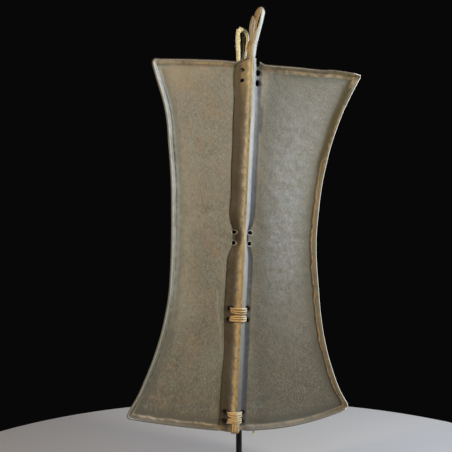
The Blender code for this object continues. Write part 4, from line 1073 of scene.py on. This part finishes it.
def make_thong_skin():
    """Twisted rawhide strip: straw-coloured with darker fibre lines along it, pale where the sun has
    bleached it, golden where the warm light is painted on, and dark behind the hide, where shade is painted."""
    material, tree = empty_material("twisted_rawhide_thong")
    place = add_node(tree, "ShaderNodeTexCoord", out=3)
    stains, fine = [
        add_node(tree, "ShaderNodeTexNoise", {"Vector": place, "Scale": PER_MM / size_mm, "Detail": 4.0})
        for size_mm in (9, 1.4)
    ]
    along, around, dark, pale_mark, painted_warm_light = [
        add_node(tree, "ShaderNodeAttribute", out=2, attribute_name=name)
        for name in ("along", "around", "dark", "pale_mark", "painted_warm_light")
    ]
    lay = add_node(tree, "ShaderNodeCombineXYZ", {"X": along, "Y": around, "Z": 0.0})
    # 60 lines' lengths to the metre, and 9 lines round the strand. Real fibres are too fine to show.
    strip_lines = add_node(tree, "ShaderNodeMapping", {"Vector": lay, "Scale": (60, 9, 1)})
    fibres = add_node(tree, "ShaderNodeTexNoise", {"Vector": strip_lines, "Scale": 1.0, "Detail": 3.0})
    colour = layered(
        tree, "A39272",
        ("BDB193", (stains, 0.4, 0.68)),
        ("836B48", (stains, 0.46, 0.3)),
        ("EAE6BC", (pale_mark, 0.0, 1.0, 0.0, 0.9), (stains, 0.25, 0.45, 0.5, 1.0)),
        # Painted warm light, golden, on the lashings' left.
        ("C3A068", (painted_warm_light, 0.0, 1.0, 0.0, 0.9), (stains, 0.25, 0.5, 0.5, 1.0)),
        ("7A6140", (fibres, 0.52, 0.72, 0.0, 0.55)),
        # Painted shade, dark, behind the hide.
        ("38281E", (dark,)),
    )
    roughness = mask(tree, (fine, 0.3, 0.7, 0.48, 0.62))
    return shade(material, tree, colour, roughness, ((fibres, 0.30), (fine, 0.08)))


THONG_SKIN = make_thong_skin()


def stave_back(t):
    """The stave's rearmost place at height t, with the slant of its bow."""
    step = 0.001
    slant = math.atan((bow(t + step) - bow(t - step)) / (2 * step))
    return STAVE_AXIS_Y + bow(t) + STAVE_RADIUS / math.cos(slant)


def lashing_ring(crossing, hole, radius, bunch, reach, left_share, right_drop):
    """A closed turn: over the ridge at one height, into the holes at another, and round the stave's back."""
    lift = HIDE_THICKNESS / 2 + THONG_GAP + radius * 0.8
    places, shares = [], []
    front_steps = 32
    nudge = 0.0006
    for k in range(front_steps + 1):
        u = k / front_steps
        s = reach * math.sin(lerp(-math.pi / 2, math.pi / 2, u))
        s *= left_share if s < 0 else 1
        t = lerp(hole + bunch - right_drop * (u > 0.5), crossing, math.sin(math.pi * u) ** 0.34)
        near, far = hide_rise(np.array([s - nudge, s + nudge]), np.array([t, t])).tolist()
        slope = (far - near) / (2 * nudge)
        length = math.hypot(slope, 1)
        # Into the holes the turn dives from the hide's face to its middle.
        raised = lift / length * (1 - (2 * abs(u - 0.5)) ** 10)
        places.append((s - slope * raised, -(near + far) / 2 - raised, t))
        shares.append(1 - 0.32 * (2 * abs(u - 0.5)) ** 6)
    behind = max(stave_back(hole - radius), stave_back(hole + radius)) + 2 * THONG_GAP + radius
    back_y = max(behind, HIDE_THICKNESS / 2 + THONG_GAP + radius * 1.5)
    hole_back = HIDE_THICKNESS / 2 + radius
    route = [(reach * 0.99, -HIDE_THICKNESS / 4), (reach * 0.965, hole_back * 0.8),
             (reach * 0.70, lerp(hole_back, back_y, 0.75) + radius / 2), (reach * 0.30, back_y + radius / 5),
             (0.0, back_y + radius / 4)]
    right = smooth_path(route, 5)
    back = [(s, y, hole + bunch * 2.2) for s, y in right.tolist()]
    back += [(-s * left_share, y, t) for s, y, t in reversed(back[:-1])]
    return places + back, shares + [0.85] * len(back), True


def station_rings(station, seed):
    """Six turns of one station, three through its lower holes and three through its upper, evenly laid."""
    uneven = random.Random(seed)
    (down, up), *_, right_drop = LACING_HOLES[station]
    middle = LACING_HEIGHTS[station]
    rings = []
    for k in range(6):
        hole = middle + (up if k > 2 else -down)
        crossing = middle + lerp(-down, up, k / 5) * 1.07 + uneven.uniform(-0.0005, 0.0005)
        radius_share = uneven.uniform(0.92, 1.12)
        reach, left_share = ((0.0106, 1.30), (0.0112, 1.55))[station]
        reach += uneven.uniform(-0.0004, 0.0004)
        bunch = (k % 3 - 1) * 0.0011
        places, shares, closed = lashing_ring(
            crossing, hole, THONG_RADIUS * 1.1, bunch, reach, left_share, right_drop)
        wander = [uneven.uniform(-0.0005, 0.0005) for _ in range(5)]
        drift = np.interp(np.linspace(0, 4, len(places)), range(5), wander[:4] + wander[:1])
        places = [(s, y, t + d) for (s, y, t), d in zip(places, drift)]
        rings.append((places, [share * radius_share for share in shares], closed))
    return rings


def mark_light_shade_and_wear(thongs):
    """Marks where the warm light is painted on a lashing, left of the ridge's crest, where shade is painted
    dark on it, behind the hide, and where its loose end is bleached, below the hide's edge."""
    places = np.array([corner.co for corner in thongs.data.vertices]) - SHIELD_FOOT
    across = places[:, 0] - places[:, 2] * math.tan(LEAN)
    in_front = smooth_step(-0.002, -0.006, places[:, 1])
    mark_points(thongs.data, {
        "painted_warm_light": smooth_step(0.0015, -0.0015, across) * in_front,
        "dark": 0.9 * (1 - in_front) * smooth_step(-0.003, 0.003, places[:, 2]),
        "pale_mark": smooth_step(0.001, -0.002, places[:, 2]) * (across > 0.012),
    })


grip_lashing = make_thongs("lashing_grip_thongs", station_rings(1, 5), THONG_SKIN, 2)
mark_light_shade_and_wear(grip_lashing)
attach(grip_lashing, "root")
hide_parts("lashing_grip")

# The foot's lashing also has strands laid lengthwise over its turns that hook round the ridge's lower end,
# and a loose end behind the hide that frays out just below its edge.
TAIL_RADIUS = 0.0016
TAIL_FIBRES = 14
foot_middle = LACING_HEIGHTS[0]


def back_stitch(station, side):
    """A flat strand behind the hide on one side, drawn tight from below the lower hole to above the upper."""
    (down, up), *_, drop = LACING_HOLES[station]
    s = (-0.0152, 0.0200)[side]
    low = LACING_HEIGHTS[station] - down - side * drop - 0.003
    high = LACING_HEIGHTS[station] + up - side * drop
    back = HIDE_THICKNESS / 2 + THONG_GAP + THONG_RADIUS
    knots = ((s * 0.96, back, low - 0.0055), (s, back * 1.05, low), (s * 1.02, back, (low + high) / 2),
             (s, back * 1.05, high), (s * 0.96, back, high + 0.004))
    line = smooth_path(knots, 8).tolist()
    return line, [2.3] * len(line), False


def hooked_strand(s, start, seed):
    """A strand from the turns down the crest, over the hide's lower edge and up again inside the ridge."""
    uneven = random.Random(seed)
    lift = HIDE_THICKNESS / 2 + THONG_RADIUS * 0.9
    rise = float(hide_rise(np.array([s]), np.array([0.012]))[0])
    foot = float(foot_edge(np.array([s]))[0])
    knots = [(s + uneven.uniform(-1, 1) * 0.001, -rise - lift - 0.0022, start)]
    knots += [(s + uneven.uniform(-1, 1) * 0.0005, -rise - lift, t) for t in (start - 0.006, 0.012, 0.005)]
    knots += [(s, -rise - lift * 0.85, foot + 0.0014), (s, -rise, foot - lift * 0.40),
              (s * 0.9, -rise + lift * 0.9, foot + 0.0004), (s * 0.85, -rise + lift * 1.1, 0.009)]
    line = smooth_path(knots, 6).tolist()
    return line, [1.0] * len(line), False


def fraying_tail():
    """The loose end, from the lashing's back to below the hide's edge, where it opens into fibres."""
    t = foot_middle - LACING_HALF_SPACING
    behind = HIDE_THICKNESS / 2 + THONG_GAP + TAIL_RADIUS
    route = ((0.36, 1.25, 0.0), (1.48, 1.9, 0.09), (2.16, 1.9, 0.68), (2.61, 0.6, 1.58), (2.70, -0.3, 2.30))
    knots = [
        (LACING_HOLES[0][1][RIGHT] * across, behind + TAIL_RADIUS * back, t - LACING_HALF_SPACING * down)
        for across, back, down in route
    ]
    line = smooth_path(knots, 6)
    strands = [(line.tolist(), [TAIL_RADIUS / THONG_RADIUS * 1.15] * len(line), False)]
    uneven = random.Random(8)
    root = line[-4]
    for _ in range(TAIL_FIBRES):
        aside, outward = uneven.uniform(-0.0034, 0.0038), uneven.uniform(-0.0020, 0.0016)
        way = np.array((aside, outward, -uneven.uniform(0.003, 0.010)))
        sway = np.array((uneven.uniform(-0.0012, 0.0012), 0, 0))
        fibre = smooth_path([root, root + way * 0.5 + sway, root + way], 5)
        strands.append((fibre.tolist(), np.linspace(0.46, 0.14, len(fibre)).tolist(), False))
    return strands


foot_strands = station_rings(0, 9)
foot_strands += [
    hooked_strand(s, foot_middle - 0.004, seed) for seed, s in enumerate((-0.0062, -0.0021, 0.0020, 0.0061))
]
foot_strands += [back_stitch(0, side) for side in (LEFT, RIGHT)]
foot_strands += fraying_tail()
foot_lashing = make_thongs("lashing_foot_thongs", foot_strands, THONG_SKIN, 5, squash=0.9)
mark_light_shade_and_wear(foot_lashing)
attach(foot_lashing, "root")
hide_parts("lashing_foot")

# Hanging loop: two turns of thong in the stave's groove, and a loop tied to them that stands up behind the
# hide's top edge. Its outer strand is pale, thick and dried stiff, and darker thin strands are gathered
# within it.
TIE_RADIUS = 0.0011
LOOP_RISE = 0.071
LOOP_LEFT = -0.0272
LOOP_RIGHT = -0.0052
LOOP_RADIUS = 0.0046
LOOP_BACK = HIDE_THICKNESS / 2 + THONG_GAP + LOOP_RADIUS
LOOP_TOP = HIDE_HEIGHT + LOOP_RISE
TIE_HEIGHT = HIDE_HEIGHT - TIE_GROOVE_DROP


def ring_strand(middle, first, second, radius, sides, share):
    """A closed round turn about a middle, in the plane of two ways, with its share of the thickness."""
    angle = full_turn(sides)[:, None]
    turn = np.array(middle) + radius * (np.cos(angle) * np.array(first) + np.sin(angle) * np.array(second))
    return turn.tolist(), [share] * sides, True


def loop_strands():
    """The tie, the thick outer strand, and the knot where the strands meet behind the hide's top edge."""
    groove = STAVE_RADIUS - TIE_GROOVE_DEPTH + THONG_GAP + TIE_RADIUS
    strands = []
    for offset in (-0.0011, 0.0009):
        middle = (0, STAVE_AXIS_Y, TIE_HEIGHT + offset)
        strands.append(ring_strand(middle, (0, -1, 0), (1, 0, 0), groove, 40, TIE_RADIUS / THONG_RADIUS))
    # Up the loop's left, over its top and down its right: how far across it runs, its distance behind the
    # hide as a share of the loop's own, and its rise above the hide's top edge as a share of the loop's.
    standing = (
        (LOOP_LEFT * 0.815, 1, 0.14), (LOOP_LEFT * 0.90, 0.6, 0.38), (LOOP_LEFT, 0.3, 0.81),
        (LOOP_LEFT * 0.93, 0.15, 0.94), (lerp(LOOP_LEFT, LOOP_RIGHT, 0.38), 0.15, 0.978),
        (lerp(LOOP_LEFT, LOOP_RIGHT, 0.80), 0.3, 0.90), (LOOP_RIGHT, 0.52, 0.72),
        (LOOP_RIGHT * 1.35, 0.67, 0.37), (LOOP_RIGHT * 1.58, 0.9, 0.11),
    )
    knots = [
        (-groove * 0.80, STAVE_AXIS_Y + groove * 0.78, TIE_HEIGHT),
        (LOOP_LEFT * 0.45, LOOP_BACK * 0.85, TIE_HEIGHT + TIE_GROOVE_DROP * 0.16),
        (LOOP_LEFT * 0.75, LOOP_BACK * 1.15, TIE_HEIGHT + TIE_GROOVE_DROP * 0.64),
        *[(across, LOOP_BACK * back, HIDE_HEIGHT + LOOP_RISE * rise) for across, back, rise in standing],
        (LOOP_RIGHT * 0.62, LOOP_BACK, TIE_HEIGHT + TIE_GROOVE_DROP * 0.64),
        (groove * 0.22, STAVE_AXIS_Y + groove, TIE_HEIGHT + TIE_GROOVE_DROP * 0.04),
    ]
    outer = smooth_path(knots, 8)
    u = np.linspace(0, 1, len(outer))
    taper = 0.56 + 0.44 * np.sin(math.pi * np.minimum(u * 1.25, 1)) ** 0.7
    ends = np.minimum(1, np.minimum(u, 1 - u) / 0.05) * 0.75 + 0.25
    strands.append((outer.tolist(), (taper * ends * LOOP_RADIUS / THONG_RADIUS).tolist(), False))
    # Three turns of a thin strand bind the inner strands to the loop's top.
    for share, tilt in ((0.36, 0.5), (0.44, -0.4), (0.50, 0.2)):
        at = round(share * (len(outer) - 1))
        way = unit(unit(outer[at + 1] - outer[at - 1]) + np.array((0.0, tilt, 0.0)))
        first = unit(np.cross(way, (0.0, 1.0, 0.0)))
        wide = taper[at] * LOOP_RADIUS + 0.0002
        strands.append(ring_strand(outer[at], first, np.cross(way, first), wide, 28, 0.62))
    # The knot, as two small turns across each other.
    knot_middle = (LOOP_LEFT * 0.52, LOOP_BACK * 0.95, HIDE_HEIGHT + 0.0035)
    for tilt in (0.3, 1.5):
        tilted = (0, math.cos(tilt), math.sin(tilt))
        strands.append(ring_strand(knot_middle, (1, 0, 0), tilted, 0.0026, 24, 0.85))
    # Two fine fibres stand off the outer strand at its left.
    fibre_root = np.array((LOOP_LEFT * 0.98, LOOP_BACK * 0.4, HIDE_HEIGHT + 0.0365))
    for aside, fall in ((-0.0065, -0.0050), (-0.0040, 0.0028)):
        knots = [fibre_root + way for way in ((0, 0, 0), (aside * 0.6, 0, fall * 0.3), (aside, 0, fall))]
        fibre = smooth_path(knots, 6)
        strands.append((fibre.tolist(), np.linspace(0.22, 0.07, len(fibre)).tolist(), False))
    return strands


def core_strands():
    """Three thin strands bundled inside the loop, from its top down to the knot and on to the tie."""
    uneven = random.Random(21)
    strands = []
    for aside in (-0.0021, 0.0, 0.0021):
        knots = []
        for share, back, height in (
            (0.46, 0.22, LOOP_TOP), (0.54, 0.45, LOOP_TOP - LOOP_RISE * 0.28),
            (0.60, 0.70, HIDE_HEIGHT + LOOP_RISE * 0.25), (0.60, 0.85, HIDE_HEIGHT + LOOP_RISE * 0.056),
            (0.71, 1.15, TIE_HEIGHT + TIE_GROOVE_DROP * 0.48),
        ):
            across = lerp(LOOP_LEFT, LOOP_RIGHT, share) + aside * uneven.uniform(0.7, 1.1)
            y = LOOP_BACK * back + uneven.uniform(-0.0008, 0.0008)
            knots.append((across, y, height + uneven.uniform(-0.001, 0.001)))
        knots.append((LOOP_LEFT * 0.43, LOOP_BACK * 0.93, TIE_HEIGHT + TIE_GROOVE_DROP * 0.18))
        line = smooth_path(knots, 8)
        strands.append((line.tolist(), [uneven.uniform(0.62, 0.72)] * len(line), False))
    return strands


loop = make_thongs("hanging_loop_thong", loop_strands(), THONG_SKIN, 8, squash=0.85, unevenness=0.0004)
core = make_thongs("loop_core_thongs", core_strands(), THONG_SKIN, 13, unevenness=0.0002)
# The core's strands are darker towards the loop's left. The outer strand is bleached pale above the hide's
# edge, and painted dark further down, as shade behind the hide.
core_lean = np.array([corner.co.x - corner.co.z * math.tan(LEAN) for corner in core.data.vertices])
core_right = smooth_step(-0.0015, 0.0025, core_lean - core_lean.mean())
mark_points(core.data, {"dark": lerp(0.95, 0.35, core_right)})
loop_height = np.array([corner.co.z for corner in loop.data.vertices]) - SHIELD_FOOT.z
loop_rise = loop_height / math.cos(LEAN) - HIDE_HEIGHT
mark_points(loop.data, {
    "pale_mark": smooth_step(-0.012, 0.0, loop_rise),
    "dark": 0.9 * smooth_step(-0.012, -0.018, loop_rise),
})
for piece in (loop, core):
    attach(piece, "root")
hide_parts("hanging_loop")

# Stand: a round steel rod in a bevelled plate, with a short arm to an open clip round the grip and a bent
# arm to a ledge under the stave's foot, all sprayed a satin black.
ROD_Y = 0.066
ROD_RADIUS = 0.00635
BASE_LENGTH = 0.280
BASE_DEPTH = 0.190
BASE_THICKNESS = 0.012
BASE_EDGE = 0.0015
ARM_RADIUS = 0.004
WIRE_SIDES = 32
CLIP_WIRE_RADIUS = 0.0025
CLIP_CLEARANCE = 0.0006
CLIP_ARC = math.radians(235)
CLIP_STEPS = 40
LEDGE_THICKNESS = 0.004
LEDGE_EDGE = 0.0007
LEDGE_HALF_WIDTH = 0.0065
LEDGE_BACK = 0.008
REST_GAP = 0.0003
SPIGOT_GAP = 0.0003


def make_black_steel():
    """Steel under a sprayed satin paint: an even, very dark grey with faint orange-peel and a soft sheen."""
    material, tree = empty_material("satin_black_painted_steel")
    place = add_node(tree, "ShaderNodeTexCoord", out=3)
    peel, dust = [
        add_node(tree, "ShaderNodeTexNoise", {"Vector": place, "Scale": PER_MM / size_mm, "Detail": 3.0})
        for size_mm in (2.0, 30)
    ]
    colour = layered(
        tree, "141415",
        ("232322", (dust, 0.45, 0.75, 0.0, 0.6)),
    )
    roughness = mask(tree, (dust, 0.35, 0.70, 0.50, 0.55))
    return shade(material, tree, colour, roughness, ((peel, 0.03),))


BLACK_STEEL = make_black_steel()


def wire_rings(path, radius):
    """Points and faces of a round wire with domed ends along a bent path in the model's frame."""
    path = np.array(path, float)
    askew = (0.31, 0.17, 0.93)
    side = np.cross(unit(path[1] - path[0]), askew)
    angle = full_turn(WIRE_SIDES)[:, None]
    # Each end is drawn out into a dome: how far past the path's end its rings lie, and their size.
    dome = [(0.5, 0.35), (0.38, 0.72), (0.15, 0.94)]
    rings = []
    for k, (place, way) in enumerate(zip(path, unit(np.gradient(path, axis=0)))):
        side = unit(side - way * side.dot(way))
        ring = np.cos(angle) * side + np.sin(angle) * np.cross(way, side)
        stops = [(0.0, 1.0)]
        if k == 0:
            stops = [(-past, size) for past, size in dome] + stops
        if k == len(path) - 1:
            stops += reversed(dome)
        for shift, size in stops:
            rings.append(place + way * shift * radius + ring * radius * size)
    return closed_ends(np.array(rings)), tube_faces(len(rings), WIRE_SIDES)


def bevelled_box(size, edge):
    """A box with rounded edges about the origin."""
    shape = bmesh.new()
    bmesh.ops.create_cube(shape, size=1)
    bmesh.ops.scale(shape, verts=shape.verts, vec=size)
    bmesh.ops.bevel(shape, geom=shape.edges[:], offset=edge, segments=4, profile=0.5, affect="EDGES")
    return shape


def mesh_from(shape, name):
    """Turns the worked shape into a mesh and lets go of it."""
    mesh = bpy.data.meshes.new(name)
    shape.to_mesh(mesh)
    shape.free()
    return mesh


def make_rod():
    """The rod, the two arms, the clip's bent wire and the ledge as overlapping closed shells in one mesh."""
    rod_foot = BASE_THICKNESS / 6 + ROD_RADIUS / 2
    clip_radius = STAVE_RADIUS + CLIP_CLEARANCE + CLIP_WIRE_RADIUS
    grip_y = STAVE_AXIS_Y + GRIP_BOW
    grip_z = on_shield(0, grip_y, GRIP_MIDDLE)[2]
    clip_x, clip_y, _ = on_shield(0, grip_y + clip_radius, GRIP_MIDDLE)
    ledge_x, _, ledge_top = on_shield(0, STAVE_AXIS_Y, STAVE_FOOT - REST_GAP)
    ledge_z = ledge_top - LEDGE_THICKNESS / 2 - ARM_RADIUS * 0.2
    clip_turn = CLIP_ARC * (np.arange(CLIP_STEPS + 1) / CLIP_STEPS - 0.5)
    clip = on_shield(clip_radius * np.sin(clip_turn), grip_y + clip_radius * np.cos(clip_turn), GRIP_MIDDLE)
    ledge_arm = smooth_path((
        (0, ROD_Y, ledge_z - ARM_RADIUS * 3),
        (ledge_x * 0.3, ROD_Y - ARM_RADIUS * 4, ledge_z - ARM_RADIUS * 2.5),
        (ledge_x, LEDGE_BACK + ARM_RADIUS, ledge_z),
        (ledge_x, LEDGE_BACK - ARM_RADIUS, ledge_z),
    ), 10)
    wires = (
        (((0, ROD_Y, rod_foot), (0, ROD_Y, 0.2), (0, ROD_Y, grip_z + ROD_RADIUS * 3)), ROD_RADIUS),
        (((0, ROD_Y, grip_z), (clip_x, clip_y, grip_z)), ARM_RADIUS),
        (clip, CLIP_WIRE_RADIUS),
        (ledge_arm, ARM_RADIUS),
    )
    front = STAVE_AXIS_Y - STAVE_RADIUS * 0.4
    shape = bevelled_box((2 * LEDGE_HALF_WIDTH, LEDGE_BACK - front, LEDGE_THICKNESS), LEDGE_EDGE)
    ledge_turn = Matrix.Rotation(LEAN, 4, "Y") @ Matrix.Translation((0, 0, -LEDGE_THICKNESS / 2))
    ledge_place = Matrix.Translation((ledge_x, (front + LEDGE_BACK) / 2, ledge_top)) @ ledge_turn
    bmesh.ops.transform(shape, matrix=ledge_place, verts=shape.verts)
    for path, radius in wires:
        points, faces = wire_rings(path, radius)
        corners = [shape.verts.new(point) for point in points.tolist()]
        for face in faces:
            shape.faces.new([corners[k] for k in face])
    bmesh.ops.recalc_face_normals(shape, faces=shape.faces)
    mesh = mesh_from(shape, "stand_rod_steel")
    mesh.shade_smooth()
    return mesh


def make_base():
    """The plate with rounded edges and the hole that the rod stands in."""
    shape = bevelled_box((BASE_LENGTH, BASE_DEPTH, BASE_THICKNESS), BASE_EDGE)
    bmesh.ops.translate(shape, verts=shape.verts, vec=(0, 0, BASE_THICKNESS / 2))
    plate = add_object("stand_base_steel", mesh_from(shape, "stand_base_steel"))
    drill_shape = bmesh.new()
    drill_radius = ROD_RADIUS + SPIGOT_GAP
    bmesh.ops.create_cone(drill_shape, cap_ends=True, segments=48, depth=BASE_THICKNESS * 4,
                          radius1=drill_radius, radius2=drill_radius)
    bmesh.ops.translate(drill_shape, verts=drill_shape.verts, vec=(0, ROD_Y, 0))
    drill = add_object("rod_hole", mesh_from(drill_shape, "rod_hole"))
    cut = plate.modifiers.new("rod_hole", "BOOLEAN")
    cut.operation = "DIFFERENCE"
    cut.object = drill
    graph = bpy.context.evaluated_depsgraph_get()
    plate.data = bpy.data.meshes.new_from_object(plate.evaluated_get(graph))
    plate.modifiers.clear()
    bpy.data.objects.remove(drill)
    return plate


stand_rod = add_object("stand_rod_steel", make_rod())
stand_base = make_base()
for piece, node in ((stand_rod, "stand_rod"), (stand_base, "stand_base")):
    piece.data.materials.clear()
    piece.data.materials.append(BLACK_STEEL)
    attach(piece, "root")
    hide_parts(node)

# Floor and light: a round matt pale floor in a dark studio. A cool light from the right and a warm one from
# the left both graze the hide; a larger one shines from the front's right, with a weak fill and a weak
# light from behind.
FLOOR_RADIUS = 0.75
FLOOR_SIDES = 96
LIGHTS_AIM = Vector((0, 0, 0.62))

rim_angle = full_turn(FLOOR_SIDES)
floor_rim = FLOOR_RADIUS * np.stack((np.cos(rim_angle), np.sin(rim_angle), 0 * rim_angle), axis=1)
floor_mesh = bpy.data.meshes.new("floor")
floor_mesh.from_pydata(floor_rim.tolist(), [], [list(range(FLOOR_SIDES))])
floor = add_object("floor", floor_mesh)
floor_material, floor_tree = empty_material("matt_pale_floor")
floor_mesh.materials.append(shade(floor_material, floor_tree, srgb("A8A6A2"), 0.9, ()))

LIGHTS = (
    # Name, turn about the shield, height, distance, width, watts and colour.
    ("cool_right", 82, 1.30, 1.25, 0.35, 33, "DCE8FF"),
    ("warm_left", -74, 1.15, 1.3, 0.20, 10.5, "FFDFB2"),
    ("front", 34, 1.25, 2.0, 0.45, 35, "FAF7EB"),
    ("fill", -20, 1.00, 1.8, 1.00, 6, "FFF6EC"),
    ("back_light", 172, 1.2, 1.6, 0.9, 3, "FFFFFF"),
)
for name, turn, height, distance, width, watts, tint in LIGHTS:
    lamp_data = bpy.data.lights.new(name, "AREA")
    lamp_data.shape = "DISK"
    lamp_data.size = width
    lamp_data.energy = watts
    lamp_data.color = srgb(tint)[:3]
    lamp = add_object(name, lamp_data)
    azimuth = math.radians(turn)
    lamp.location = (distance * math.sin(azimuth), -distance * math.cos(azimuth), height)
    lamp.rotation_euler = (LIGHTS_AIM - lamp.location).to_track_quat("-Z", "Y").to_euler()

world = bpy.data.worlds.new("dark_studio")
world.use_nodes = True
backdrop = world.node_tree.nodes["Background"].inputs
backdrop["Color"].default_value = srgb("0A0A0B")
backdrop["Strength"].default_value = 0.8
bpy.context.scene.world = world
bpy.context.scene.view_settings.view_transform = "Standard"
